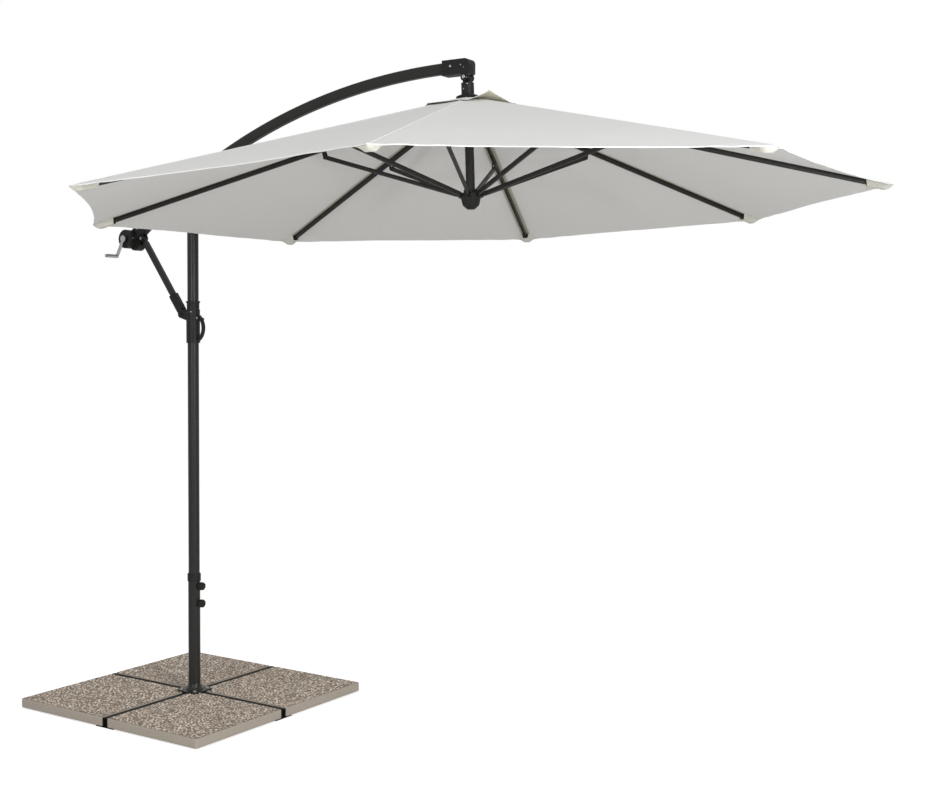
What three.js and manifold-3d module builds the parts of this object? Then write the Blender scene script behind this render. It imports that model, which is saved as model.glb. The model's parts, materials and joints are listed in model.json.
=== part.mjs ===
// Cantilever garden parasol: a swivelling pole on a slab-weighted cross base, a curved arm
// raised and lowered by a slider and a brace, and an eight-rib canopy that hangs from the
// arm's end and is opened by a crank and a cord.
// Millimetres and degrees. Origin: the pole's axis at floor level. +Z up, +X from the pole
// towards the canopy. The crank is on the -Y side.
import * as THREE from 'three';
import { mergeVertices } from 'three/addons/utils/BufferGeometryUtils.js';
import Module from 'manifold-3d';

const wasm = await Module();
wasm.setup();

// ---------------------------------------------------------------- driving dimensions

// Canopy and its folding frame
const ribCount = 8;
const firstRibAngle = 22.5;        // the arm points between two ribs
const canopyRadius = 1500;         // hub axis to a fabric corner
const rimHeight = 2068;            // fabric corners above the floor
const canopyLean = 2.43;           // hub axis off plumb, far side up
const fabricThickness = 1.5;
const ventRadius = 100;            // opening in the main cloth, at a corner
const ventCapRadius = 178;
const hubPinRadius = 38;           // rib and strut hinges, both hubs
const hubRadius = 46;
const hubSpacing = 340;            // between the two hubs' hinge planes, open
const strutReach = 540;            // hinge to hinge, along the strut and along the rib
const ribWidth = 12;
const ribDepth = 18;
const ribWall = 1.2;
const ribSlot = 5;                 // the rib's section is open along its underside
const ribEndMargin = 30;           // rib end short of the fabric corner
const strutWidth = 11;
const strutDepth = 16;
const strutWall = 1.2;
const tongueWidth = 8;
const hubWireRadius = 1.5;
const rivetRadius = 2.5;
const mastRadius = 17;
const mastWall = 1.8;

// Arm, elbow and head
const kneeX = 1395;                // tilt bolt under the elbow
const kneeHeight = 2540;
const topHubDrop = 92;             // tilt bolt to the upper hub's hinge plane
const armCrestX = 1323.6;          // where the arm's arc is level
const armCrestHeight = 2581;       // arm centreline there
const armArcRadius = 2728.5;
const armDepth = 41;
const armWidth = 30;
const armWall = 2;
const armLowEndX = -330;
const armHighEndX = 1338;
const elbowDepth = 58;
const elbowWidth = 46;
const headTubeRadius = 24;
const crownRadius = 44.5;
const crownThickness = 11;
const tiltBoltRadius = 4;
const pulleyRadius = 14;
const cordRadius = 2.5;

// Pole, pole head and the linkage
const poleRadius = 23.8;
const poleWall = 1.8;
const poleBottom = 62;
const poleTop = 2150;
const pivotHeight = 2190;          // the arm turns here
const pivotPinRadius = 5;
const braceTopX = -298;            // brace hinge under the arm's low end
const braceTopHeight = 2003;
const braceFootX = -55;            // brace hinge beside the pole
const braceFootHeight = 1670;
const braceDepth = 22;
const braceWidth = 22;
const braceWall = 1.6;
const sliderBottom = 1548;
const sliderHeight = 179;
const sliderRadius = 29;
const sliderCollarHeight = 37;

// Crank
const drumRadius = 41;
const crankX = -362;
const crankHeight = 2000;
const crankReach = 86;
const gripLength = 60;
const gripRadius = 8;

// Base
const slabSide = 497;
const slabThickness = 38;
const slabCornerRadius = 10;
const crossWebWidth = 20;
const crossHeight = 40;
const crossFootWidth = 100;
const crossFootThickness = 3;
const slabMargin = 3;              // cross web to slab
const sleeveWall = 1.6;
const sleeveTop = 547;
const flangeSide = 112;
const flangeThickness = 5;
const footBoltSpacing = 76;
const footBoltRadius = 4;
const collarHeight = 33;
const collarWall = 2.6;
const knobHeights = [501, 426];
const knobRadius = 17.5;
const knobThickness = 15;
const clampScrewRadius = 4;

// Clearances
const gap = 0.3;                   // between touching parts
const turnGap = 0.5;               // beside a turning part
const slideGap = 0.4;              // round a sliding part

// ---------------------------------------------------------------- materials

const finish = (color, roughness, metalness) =>
  new THREE.MeshStandardMaterial({ color, roughness, metalness });
const anthracite = finish(0x34332f, 0.45, 0.6);
const blackPlastic = finish(0x171717, 0.5, 0);
const zinc = finish(0xb5b6b4, 0.35, 0.9);
const clothFinish = finish(0xe6e5df, 0.9, 0);
const aggregate = finish(0x96877a, 0.95, 0);
const blackSteel = finish(0x1b1b1b, 0.5, 0.4);
const cordFinish = finish(0x2c2c2c, 0.9, 0);

// ---------------------------------------------------------------- solids

const radians = THREE.MathUtils.degToRad;
const fineSteps = 24;              // sides of the pole and of what it passes through
const roundSteps = 16;
const boltSteps = 12;

function toSolid(geometry) {
  const bare = geometry.clone();
  bare.deleteAttribute('normal');
  bare.deleteAttribute('uv');
  const merged = mergeVertices(bare, 1e-4);
  return new wasm.Manifold(new wasm.Mesh({
    numProp: 3,
    vertProperties: Float32Array.from(merged.attributes.position.array),
    triVerts: Uint32Array.from(merged.index.array),
  }));
}

function toGeometry(solid) {
  const mesh = solid.getMesh();
  const geometry = new THREE.BufferGeometry();
  geometry.setAttribute('position', new THREE.BufferAttribute(mesh.vertProperties, 3));
  geometry.setIndex(new THREE.BufferAttribute(mesh.triVerts, 1));
  geometry.computeVertexNormals();
  return geometry;
}

const join = (first, ...others) => others.reduce((whole, part) => whole.add(part), first);
const cut = (first, ...others) => others.reduce((whole, part) => whole.subtract(part), first);

// A box from its lowest to its highest corner.
function block(x0, x1, y0, y1, z0, z1) {
  const geometry = new THREE.BoxGeometry(x1 - x0, y1 - y0, z1 - z0);
  geometry.translate((x0 + x1) / 2, (y0 + y1) / 2, (z0 + z1) / 2);
  return toSolid(geometry);
}

// A cylinder between two heights along an axis, centred on two other coordinates.
function rod(axis, radius, from, to, across = 0, along = 0, steps = roundSteps) {
  const geometry = new THREE.CylinderGeometry(radius, radius, to - from, steps);
  geometry.translate(0, (from + to) / 2, 0);
  if (axis === 'x') {
    geometry.rotateZ(-Math.PI / 2);
    geometry.translate(0, across, along);
  }
  if (axis === 'y') {
    geometry.translate(across, 0, along);
  }
  if (axis === 'z') {
    geometry.rotateX(Math.PI / 2);
    geometry.translate(across, along, 0);
  }
  return toSolid(geometry);
}

const pipe = (axis, outer, inner, from, to, across = 0, along = 0, steps = roundSteps) =>
  rod(axis, outer, from, to, across, along, steps)
    .subtract(rod(axis, inner, from - 1, to + 1, across, along, steps));

function roundedRectangle(width, height, radius) {
  const shape = new THREE.Shape();
  const x = width / 2 - radius;
  const y = height / 2 - radius;
  shape.absarc(x, y, radius, 0, Math.PI / 2, false);
  shape.absarc(-x, y, radius, Math.PI / 2, Math.PI, false);
  shape.absarc(-x, -y, radius, Math.PI, Math.PI * 1.5, false);
  shape.absarc(x, -y, radius, Math.PI * 1.5, Math.PI * 2, false);
  return shape;
}

// A rounded rectangle in the Y-Z plane, run along X.
function bar(x0, x1, width, height, radius, curveSegments = 1) {
  const shape = roundedRectangle(width, height, radius);
  const geometry = new THREE.ExtrudeGeometry(shape, {
    depth: x1 - x0, bevelEnabled: false, curveSegments,
  });
  geometry.rotateZ(Math.PI / 2);
  geometry.rotateY(Math.PI / 2);
  geometry.translate(x0, 0, 0);
  return toSolid(geometry);
}

// A square-cornered bar along X, and a tube with softened corners and a square-cornered bore.
const squareBar = (x0, x1, width, height) =>
  block(x0, x1, -width / 2, width / 2, -height / 2, height / 2);
const tube = (x0, x1, width, height, radius, wall) =>
  bar(x0, x1, width, height, radius)
    .subtract(squareBar(x0 - 1, x1 + 1, width - 2 * wall, height - 2 * wall));

// A plate whose outline lies in the X-Z plane, between two Y values.
function plate(shape, y0, y1, curveSegments = 4) {
  const geometry = new THREE.ExtrudeGeometry(shape, {
    depth: y1 - y0, bevelEnabled: false, curveSegments,
  });
  geometry.rotateX(Math.PI / 2);
  geometry.translate(0, y1, 0);
  return toSolid(geometry);
}

// A plate whose outline lies in the X-Y plane, between two heights.
function slab(shape, z0, z1, curveSegments = 4) {
  const geometry = new THREE.ExtrudeGeometry(shape, {
    depth: z1 - z0, bevelEnabled: false, curveSegments,
  });
  geometry.translate(0, 0, z0);
  return toSolid(geometry);
}

// A turned piece: [radius, height] pairs that start and end on the axis, from the bottom up.
function turned(profile, steps = roundSteps) {
  const points = profile.map(([radius, height]) => new THREE.Vector2(radius, height));
  const geometry = new THREE.LatheGeometry(points, steps);
  geometry.rotateX(Math.PI / 2);
  return toSolid(geometry);
}

function ring(radius, wireRadius, height, steps = 24, sides = 4) {
  const geometry = new THREE.TorusGeometry(radius, wireRadius, sides, steps);
  geometry.translate(0, 0, height);
  return toSolid(geometry);
}

// A lug: a round eye and a block of the eye's width that runs from it in one direction.
function lug(y0, y1, eyeX, eyeZ, radius, endX, endZ, curveSegments = 4) {
  const angle = Math.atan2(endZ - eyeZ, endX - eyeX);
  const length = Math.hypot(endX - eyeX, endZ - eyeZ);
  const shape = new THREE.Shape();
  shape.absarc(0, 0, radius, Math.PI / 2, Math.PI * 1.5, false);
  shape.lineTo(length, -radius);
  shape.lineTo(length, radius);
  return plate(shape, y0, y1, curveSegments)
    .rotate([0, -THREE.MathUtils.radToDeg(angle), 0])
    .translate([eyeX, 0, eyeZ]);
}

const parasol = new THREE.Group();

function add(group, name, solid, material) {
  const mesh = new THREE.Mesh(toGeometry(solid), material);
  mesh.name = name;
  group.add(mesh);
  return mesh;
}

// ---------------------------------------------------------------- base

const slabInner = crossWebWidth / 2 + slabMargin;
const slabNotch = flangeSide / 2 + 2;
const slabBottom = crossFootThickness + gap;

function baseSlab(signX, signY) {
  const centre = slabInner + slabSide / 2;
  const shape = roundedRectangle(slabSide, slabSide, slabCornerRadius);
  const whole = slab(shape, slabBottom, slabBottom + slabThickness)
    .translate([signX * centre, signY * centre, 0]);
  const notch = block(-slabNotch, slabNotch, -slabNotch, slabNotch, 0, 100);
  return whole.subtract(notch);
}

let slabNumber = 1;
for (const [signX, signY] of [[1, -1], [1, 1], [-1, 1], [-1, -1]]) {
  add(parasol, `slab_${slabNumber}`, baseSlab(signX, signY), aggregate);
  slabNumber += 1;
}

const crossLength = 2 * (slabInner + slabSide) - 2;
const crossHalf = crossLength / 2;
const crossWall = 2;

// One arm of the cross, along X: a hollow web that stands on a flat foot.
function crossArm() {
  const foot = block(-crossHalf, crossHalf, -crossFootWidth / 2, crossFootWidth / 2,
    0, crossFootThickness);
  const web = block(-crossHalf, crossHalf, -crossWebWidth / 2, crossWebWidth / 2,
    0, crossHeight);
  const bore = block(-crossHalf - 1, crossHalf + 1, -crossWebWidth / 2 + crossWall,
    crossWebWidth / 2 - crossWall, crossFootThickness, crossHeight - crossWall);
  return cut(join(foot, web), bore);
}

const halfLap = crossHeight / 2;
const lapHalf = crossWebWidth / 2 + gap;
const footLap = crossFootWidth / 2 + gap;
const crossBoltHoles = [];
for (const signX of [-1, 1]) {
  for (const signY of [-1, 1]) {
    crossBoltHoles.push(rod('z', footBoltRadius + gap, -1, 80, signX * footBoltSpacing / 2,
      signY * footBoltSpacing / 2, boltSteps));
  }
}
const lowerCross = cut(crossArm(),
  block(-lapHalf, lapHalf, -lapHalf, lapHalf, halfLap, crossHeight + 1), ...crossBoltHoles);
const upperCross = cut(crossArm().rotate([0, 0, 90]),
  block(-footLap, footLap, -footLap, footLap, -1, crossFootThickness + gap),
  block(-lapHalf, lapHalf, -lapHalf, lapHalf, -1, halfLap + gap));
add(parasol, 'cross_bar_x', lowerCross, blackSteel);
add(parasol, 'cross_bar_y', upperCross, blackSteel);

const sleeveBore = poleRadius + gap;
const sleeveRadius = sleeveBore + sleeveWall;
const flangeBottom = slabBottom + slabThickness + gap;
const flangeTop = flangeBottom + flangeThickness;
const bossRadius = 9;
const bossReach = 7;

// Foot flange with a flared skirt, the lower sleeve and the two clamp-screw bosses.
function baseSleeve() {
  const flange = slab(roundedRectangle(flangeSide, flangeSide, 12), flangeBottom, flangeTop);
  const flare = 12;
  const skirt = turned([
    [0, flangeTop - 1], [sleeveRadius + flare, flangeTop - 1], [sleeveRadius + flare, flangeTop + 2],
    [sleeveRadius + flare * 0.45, flangeTop + 8], [sleeveRadius + flare * 0.15, flangeTop + 18],
    [sleeveRadius, flangeTop + 30], [0, flangeTop + 30],
  ]);
  const wall = rod('z', sleeveRadius, flangeTop - 1, sleeveTop, 0, 0, fineSteps);
  const bore = rod('z', sleeveBore, poleBottom - gap, sleeveTop + 1, 0, 0, fineSteps);
  const drain = rod('z', sleeveBore - 6, 0, poleBottom, 0, 0);
  const bosses = knobHeights.map((height) =>
    rod('x', bossRadius, sleeveBore + 0.4, sleeveRadius + bossReach, 0, height));
  const screwHoles = knobHeights.map((height) =>
    rod('x', clampScrewRadius + gap, 10, sleeveRadius + bossReach + 1, 0, height, boltSteps));
  return cut(join(flange, skirt, wall, ...bosses), bore, drain, ...screwHoles, ...crossBoltHoles);
}
add(parasol, 'base_sleeve', baseSleeve(), anthracite);

const nutHeight = 7;
let boltNumber = 1;
for (const [signX, signY] of [[1, -1], [1, 1], [-1, 1], [-1, -1]]) {
  const x = signX * footBoltSpacing / 2;
  const y = signY * footBoltSpacing / 2;
  const shank = rod('z', footBoltRadius, crossFootThickness + gap, flangeTop + 4, x, y, boltSteps);
  const washer = rod('z', 9, flangeTop + gap, flangeTop + 2, x, y, boltSteps);
  const head = rod('z', 7.5, flangeTop + 1.5, flangeTop + nutHeight, x, y, 6);
  const nut = rod('z', 7, crossFootThickness + gap, crossFootThickness + gap + nutHeight, x, y, 6);
  add(parasol, `foot_bolt_${boltNumber}`, join(shank, washer, head, nut), zinc);
  boltNumber += 1;
}

// The collar slips over the sleeve's rim; its inner lip rests on the rim.
function sleeveCollar() {
  const top = sleeveTop + 6;
  const outer = rod('z', sleeveRadius + gap + collarWall, top - collarHeight, top, 0, 0, fineSteps);
  const socket = rod('z', sleeveRadius + gap, top - collarHeight - 1, sleeveTop + gap, 0, 0, fineSteps);
  const bore = rod('z', sleeveBore, 0, top + 1, 0, 0, fineSteps);
  const bosses = knobHeights.map((height) =>
    rod('x', bossRadius + 1, 0, 60, 0, height));
  return cut(outer, socket, bore, ...bosses);
}
add(parasol, 'sleeve_collar', sleeveCollar(), blackPlastic);

// A clamp knob: a fluted head on a screw that runs through the sleeve to the pole.
function clampKnob(height) {
  const tip = poleRadius + gap;
  const neck = sleeveRadius + bossReach + 1;
  const screw = rod('x', clampScrewRadius, tip, neck + 4, 0, height, boltSteps);
  const hub = rod('x', 10, neck, neck + 5, 0, height);
  let head = rod('x', knobRadius, neck + 3, neck + 3 + knobThickness, 0, height);
  const fluteCount = 8;
  for (let index = 0; index < fluteCount; index += 1) {
    const angle = (index / fluteCount) * Math.PI * 2;
    const reach = knobRadius + 2.4;
    head = head.subtract(rod('x', 4.2, neck, neck + 5 + knobThickness,
      Math.cos(angle) * reach, height + Math.sin(angle) * reach, 14));
  }
  return join(screw, hub, head);
}
add(parasol, 'clamp_knob_upper', clampKnob(knobHeights[0]), blackPlastic);
add(parasol, 'clamp_knob_lower', clampKnob(knobHeights[1]), blackPlastic);

// ---------------------------------------------------------------- pole and pole head

add(parasol, 'pole', pipe('z', poleRadius, poleRadius - poleWall, poleBottom, poleTop, 0, 0, fineSteps),
  anthracite);

const saddleLugWidth = 20;
const forkThickness = 7;
const forkInner = saddleLugWidth / 2 + turnGap;
const forkOuter = forkInner + forkThickness;
const eyeRadius = 14;

// Cap on the pole's end, with the two ears that carry the arm's pivot pin.
function poleHead() {
  const skirtBottom = poleTop - 55;
  const capTop = poleTop + 14;
  const cap = rod('z', poleRadius + gap + 3.2, skirtBottom, capTop, 0, 0, fineSteps);
  const bore = rod('z', poleRadius + gap, skirtBottom - 1, poleTop + gap, 0, 0, fineSteps);
  const ears = [-1, 1].map((side) => {
    const inner = Math.min(side * forkInner, side * forkOuter);
    return lug(inner, inner + forkThickness, 0, pivotHeight, eyeRadius, 0, capTop - 8);
  });
  const pinHole = rod('y', pivotPinRadius + gap, -60, 60, 0, pivotHeight);
  return cut(join(cap, ...ears), bore, pinHole);
}
add(parasol, 'pole_head', poleHead(), blackPlastic);

function headedPin(radius, halfLength, headRadius, headThickness, x, z) {
  return join(
    rod('y', radius, -halfLength - headThickness, halfLength + headThickness, x, z),
    rod('y', headRadius, -halfLength - headThickness, -halfLength, x, z),
    rod('y', headRadius, halfLength, halfLength + headThickness, x, z),
  );
}
add(parasol, 'arm_pivot_pin',
  headedPin(pivotPinRadius, forkOuter + gap, 8.5, 4, 0, pivotHeight), zinc);

// ---------------------------------------------------------------- arm

const armCentreHeight = armCrestHeight - armArcRadius;
const armHeightAt = (x) =>
  armCentreHeight + Math.sqrt(armArcRadius ** 2 - (x - armCrestX) ** 2);
const armSlopeAt = (x) => Math.asin((armCrestX - x) / armArcRadius);

// The arm's centreline, lengthened at both ends by a number of the arm's own steps.
const armSteps = 12;
class ArmArc extends THREE.Curve {
  constructor(extraSteps) {
    super();
    const step = (armSlopeAt(armLowEndX) - armSlopeAt(armHighEndX)) / armSteps;
    this.start = -armSlopeAt(armLowEndX) - extraSteps * step;
    this.end = -armSlopeAt(armHighEndX) + extraSteps * step;
  }

  getPoint(t, target = new THREE.Vector3()) {
    const angle = this.start + (this.end - this.start) * t;
    return target.set(armCrestX + armArcRadius * Math.sin(angle), 0,
      armCentreHeight + armArcRadius * Math.cos(angle));
  }
}

// A section run along the arm's arc. The section's X lies across the arm, its Y in the arc's plane.
function alongArm(depth, width, radius, extraSteps) {
  return toSolid(new THREE.ExtrudeGeometry(roundedRectangle(width, depth, radius), {
    steps: armSteps + 2 * extraSteps,
    curveSegments: 1,
    bevelEnabled: false,
    extrudePath: new ArmArc(extraSteps),
  }));
}

const armCorner = 11;
const armOuter = alongArm(armDepth, armWidth, armCorner, 0);
const armBore = alongArm(armDepth - 2 * armWall, armWidth - 2 * armWall, armCorner - armWall, 1);
add(parasol, 'arm_tube', armOuter.subtract(armBore), anthracite);

// The space that the arm takes between two X values, with clearance, for whatever grips it.
const armSpaceWhole = alongArm(armDepth + 2 * gap, armWidth + 2 * gap, armCorner + gap, 1);
const armSpace = (x0, x1) => armSpaceWhole.intersect(block(x0, x1, -100, 100, 0, 4000));

// Moves a piece drawn about the origin to a point of the arm, turned with its slope.
const seatOnArm = (solid, x) => solid
  .rotate([0, -THREE.MathUtils.radToDeg(armSlopeAt(x)), 0])
  .translate([x, 0, armHeightAt(x)]);

const saddleHalf = 48;

// Saddle round the arm over the pole, with the lug that hangs on the pivot pin.
function armSaddle() {
  const wall = 4.5;
  const shell = seatOnArm(bar(-saddleHalf, saddleHalf, armWidth + 2 * gap + 2 * wall,
    armDepth + 2 * gap + 2 * wall, 12), 0);
  const hanger = lug(-saddleLugWidth / 2, saddleLugWidth / 2, 0, pivotHeight, eyeRadius - 1,
    -armDepth * 0.35, armHeightAt(0) - 12);
  const pinHole = rod('y', pivotPinRadius + gap, -60, 60, 0, pivotHeight);
  return cut(join(shell, hanger), armSpace(-140, 140), pinHole);
}
add(parasol, 'arm_saddle', armSaddle(), blackPlastic);

// ---------------------------------------------------------------- crank housing

const braceLugWidth = 18;
const braceLugThickness = 6;
const braceLugInner = braceLugWidth / 2 + turnGap;
const braceLugOuter = braceLugInner + braceLugThickness;
const housingFront = -48;
const housingBack = -17;
const winchRadius = 24;
const winchWall = 3;
const crankShaftRadius = 6;

// Housing clamped on the arm's low end: the round winch case, and the lugs for the brace.
function crankHousing() {
  const wall = 6;
  const sleeveX = -300;
  const grip = seatOnArm(bar(-44, 30, armWidth + 2 * gap + 2 * wall,
    armDepth + 2 * gap + 2 * wall, 9), sleeveX);
  const winchCase = rod('y', drumRadius, housingFront, housingBack, crankX, crankHeight);
  const rearDrum = rod('y', 30, housingBack - 2, 20, -334, 1980);
  const neck = lug(housingBack - 6, 18, crankX + 6, crankHeight + 4, 24, sleeveX, 2044);
  const braceLugs = [-1, 1].map((side) => {
    const inner = Math.min(side * braceLugInner, side * braceLugOuter);
    return lug(inner, inner + braceLugThickness, braceTopX, braceTopHeight, 13,
      sleeveX - 12, armHeightAt(sleeveX) - 14);
  });
  const winchSpace = rod('y', winchRadius + 2, housingFront + winchWall, housingBack - winchWall,
    crankX, crankHeight);
  const shaftHole = rod('y', crankShaftRadius + turnGap, housingFront - 1, 40,
    crankX, crankHeight);
  const braceSpace = rod('y', 24, -braceLugInner, braceLugInner,
    braceTopX + 4, braceTopHeight - 6, fineSteps);
  const braceHole = rod('y', 4 + gap, -60, 60, braceTopX, braceTopHeight, boltSteps);
  const cordWay = block(-16, 16, -1, 1, -6, 6).rotate([0, -30, 0]).scale([1.6, 3, 1])
    .translate([-344, (housingFront + housingBack) / 2 + 9, 2022]);
  return cut(join(grip, winchCase, rearDrum, neck, ...braceLugs), armSpace(armLowEndX - 30, -200),
    winchSpace, shaftHole, braceSpace, braceHole, cordWay);
}
add(parasol, 'crank_housing', crankHousing(), blackPlastic);

// Winch drum on the crank's shaft: two flanges and a core, inside the round case.
function winchDrum() {
  const front = housingFront + winchWall + turnGap;
  const back = housingBack - winchWall - turnGap;
  const core = rod('y', 14, front, back, crankX, crankHeight);
  const flanges = [[front, front + 2], [back - 2, back]].map(([y0, y1]) =>
    rod('y', winchRadius, y0, y1, crankX, crankHeight));
  const bore = rod('y', crankShaftRadius + gap, -100, 60, crankX, crankHeight);
  return cut(join(core, ...flanges), bore);
}
add(parasol, 'winch_drum', winchDrum(), blackPlastic);

const crankAngle = 241;            // where the crank's handle points, from +X towards +Z
const crankEndX = crankX + crankReach * Math.cos(radians(crankAngle));
const crankEndHeight = crankHeight + crankReach * Math.sin(radians(crankAngle));
const crankPlane = housingFront - 6;
const crankThickness = 5;

// Crank: shaft through the case, round boss, flat arm and the spindle of the grip.
function crankHandle() {
  const shaft = rod('y', crankShaftRadius, crankPlane, 18, crankX, crankHeight);
  const boss = rod('y', 15, crankPlane - crankThickness - 3, crankPlane, crankX, crankHeight);
  const arm = lug(crankPlane - crankThickness, crankPlane, crankEndX, crankEndHeight, 8,
    crankX, crankHeight);
  const spindle = rod('y', 3, crankPlane - crankThickness - gripLength - 4, crankPlane - 1,
    crankEndX, crankEndHeight, boltSteps);
  const stop = rod('y', 5, crankPlane - crankThickness - gripLength - 4,
    crankPlane - crankThickness - gripLength - 1, crankEndX, crankEndHeight, boltSteps);
  return join(shaft, boss, arm, spindle, stop);
}
add(parasol, 'crank_handle', crankHandle(), zinc);
add(parasol, 'crank_grip', pipe('y', gripRadius, 3 + gap,
  crankPlane - crankThickness - gripLength, crankPlane - crankThickness - gap,
  crankEndX, crankEndHeight), zinc);

// ---------------------------------------------------------------- brace and slider

const braceLength = Math.hypot(braceTopX - braceFootX, braceTopHeight - braceFootHeight);
const braceAngle = THREE.MathUtils.radToDeg(
  Math.atan2(braceTopHeight - braceFootHeight, braceTopX - braceFootX));

// Pieces of the brace are drawn along X, from its foot hinge at the origin to its top hinge.
const brace = new THREE.Group();
brace.position.set(braceFootX, 0, braceFootHeight);
brace.rotation.y = -radians(braceAngle);
parasol.add(brace);

const braceCorner = 2;
const braceBore = braceDepth - 2 * braceWall;
const footSocketEnd = 104;
const footStop = 34;
add(brace, 'brace_tube', tube(footStop + gap, braceLength - 24, braceWidth, braceDepth,
  braceCorner, braceWall), anthracite);

// Plug and eye at the brace's top, between the housing's lugs.
function braceTopEnd() {
  const eye = rod('y', 11, -braceLugWidth / 2, braceLugWidth / 2, braceLength, 0, fineSteps);
  const stem = block(braceLength - 24 + gap, braceLength - 4, -braceLugWidth / 2, braceLugWidth / 2, -9, 9);
  const plug = bar(braceLength - 60, braceLength - 22, braceBore - 2 * gap, braceBore - 2 * gap, 2);
  const hole = rod('y', 4 + gap, -40, 40, braceLength, 0, boltSteps);
  return cut(join(eye, stem, plug), hole);
}
add(brace, 'brace_top_end', braceTopEnd(), blackPlastic);

const footWidth = 31;
const footDepth = 33;

// Socket at the brace's foot: a square sleeve that narrows to the hinge eye.
function braceFootEnd() {
  const sleeve = bar(22, footSocketEnd, footWidth, footDepth, 4);
  const eye = rod('y', 13, -footWidth / 2, footWidth / 2, 0, 0, fineSteps);
  const neck = block(0, 24, -footWidth / 2, footWidth / 2, -13, 13);
  const bore = squareBar(footStop, footSocketEnd + 1, braceWidth + 2 * gap, braceDepth + 2 * gap);
  return cut(join(sleeve, eye, neck), bore);
}
add(brace, 'brace_foot_end', braceFootEnd(), blackPlastic);

add(parasol, 'brace_top_pin',
  headedPin(4, braceLugOuter + gap, 7.5, 4, braceTopX, braceTopHeight), zinc);

const earInner = footWidth / 2 + turnGap;
const earThickness = 5;
const earOuter = earInner + earThickness;
const sliderTop = sliderBottom + sliderHeight;
const bodyTop = sliderTop - sliderCollarHeight;
const leverPinX = 35;
const leverPinHeight = 1655;
const leverWidth = 15;
const latchSwing = 16;             // degrees that the lever opens

// Slider on the pole: body, narrower collar, two ears for the brace and two for the lever.
function sliderBody() {
  const body = rod('z', sliderRadius, sliderBottom, bodyTop + 1, 0, 0, fineSteps);
  const collar = rod('z', sliderRadius - 2.4, bodyTop, sliderTop, 0, 0, fineSteps);
  const rim = rod('z', sliderRadius + 0.6, sliderTop - 8, sliderTop, 0, 0, fineSteps);
  const ears = [-1, 1].map((side) => {
    const inner = Math.min(side * earInner, side * earOuter);
    return lug(inner, inner + earThickness, braceFootX, braceFootHeight, 15, 0, braceFootHeight - 16);
  });
  const pinHeads = [-1, 1].map((side) => {
    const near = Math.min(side * (earOuter - 1), side * (earOuter + 4));
    return rod('y', 8, near, near + 5, braceFootX, braceFootHeight);
  });
  const leverEars = [-1, 1].map((side) => {
    const inner = Math.min(side * (leverWidth / 2 + turnGap), side * (leverWidth / 2 + turnGap + 4));
    return lug(inner, inner + 4, leverPinX, leverPinHeight, 8, 0, leverPinHeight);
  });
  const leverHole = rod('y', 2.5 + gap, -30, 30, leverPinX, leverPinHeight, boltSteps);
  const bore = rod('z', poleRadius + slideGap, sliderBottom - 1, sliderTop + 1, 0, 0, fineSteps);
  const leverSpace = block(sliderRadius - 2, 60, -leverWidth / 2 - turnGap, leverWidth / 2 + turnGap,
    leverPinHeight - 20, leverPinHeight + 20);
  return cut(join(body, collar, rim, ...ears, ...pinHeads, cut(join(...leverEars), leverSpace)),
    bore, leverHole);
}
add(parasol, 'slider', sliderBody(), blackPlastic);

// Bow-shaped latch lever: an arc from its pin down to a free end beside the slider's foot.
function latchLever() {
  const top = leverPinHeight + 16;
  const bottom = sliderBottom + 6;
  const chord = top - bottom;
  const bulge = 34;
  const radius = (chord * chord / 4 + bulge * bulge) / (2 * bulge);
  const half = Math.asin(chord / 2 / radius);
  const middle = (top + bottom) / 2;
  const centreX = sliderRadius + 1.2 + bulge - radius;
  const thickness = 9;
  const shape = new THREE.Shape();
  shape.absarc(centreX, -middle, radius, -half, half, false);
  shape.absarc(centreX, -middle, radius - thickness, half * 0.96, -half * 0.96, true);
  const bow = plate(shape, -leverWidth / 2, leverWidth / 2, 14).mirror([0, 0, 1]);
  const eye = rod('y', 7, -leverWidth / 2, leverWidth / 2, leverPinX + 2, leverPinHeight);
  const arm = lug(-leverWidth / 2, leverWidth / 2, leverPinX + 2, leverPinHeight, 6,
    leverPinX + 22, leverPinHeight - 8);
  const body = rod('z', sliderRadius + turnGap, sliderBottom - 5, sliderTop + 5, 0, 0, fineSteps);
  // As the lever swings out, its heel swings in: it is relieved by the slider's body as it then lies.
  const reliefs = [0, 0.25, 0.5, 0.75, 1].map((share) => body
    .translate([-leverPinX, 0, -leverPinHeight])
    .rotate([0, share * latchSwing, 0])
    .translate([leverPinX, 0, leverPinHeight]));
  const hole = rod('y', 2.5 + gap, -30, 30, leverPinX, leverPinHeight, boltSteps);
  return cut(join(bow, eye, arm), ...reliefs, hole);
}
add(parasol, 'latch_lever', latchLever(), blackPlastic);
add(parasol, 'latch_pin', headedPin(2.5, leverWidth / 2 + turnGap + 4 + gap, 4.5, 1.6,
  leverPinX, leverPinHeight), zinc);

// ---------------------------------------------------------------- elbow

const legRadius = headTubeRadius;
const elbowTop = armCrestHeight + elbowDepth / 2 - 2;
const elbowStart = 1296;
const kneeEyeRadius = 15;
const tongueHalf = 9;
const pulleyX = kneeX - 3;
const pulleyHeight = armCrestHeight - 5;
const pulleyWidth = 8;

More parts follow.
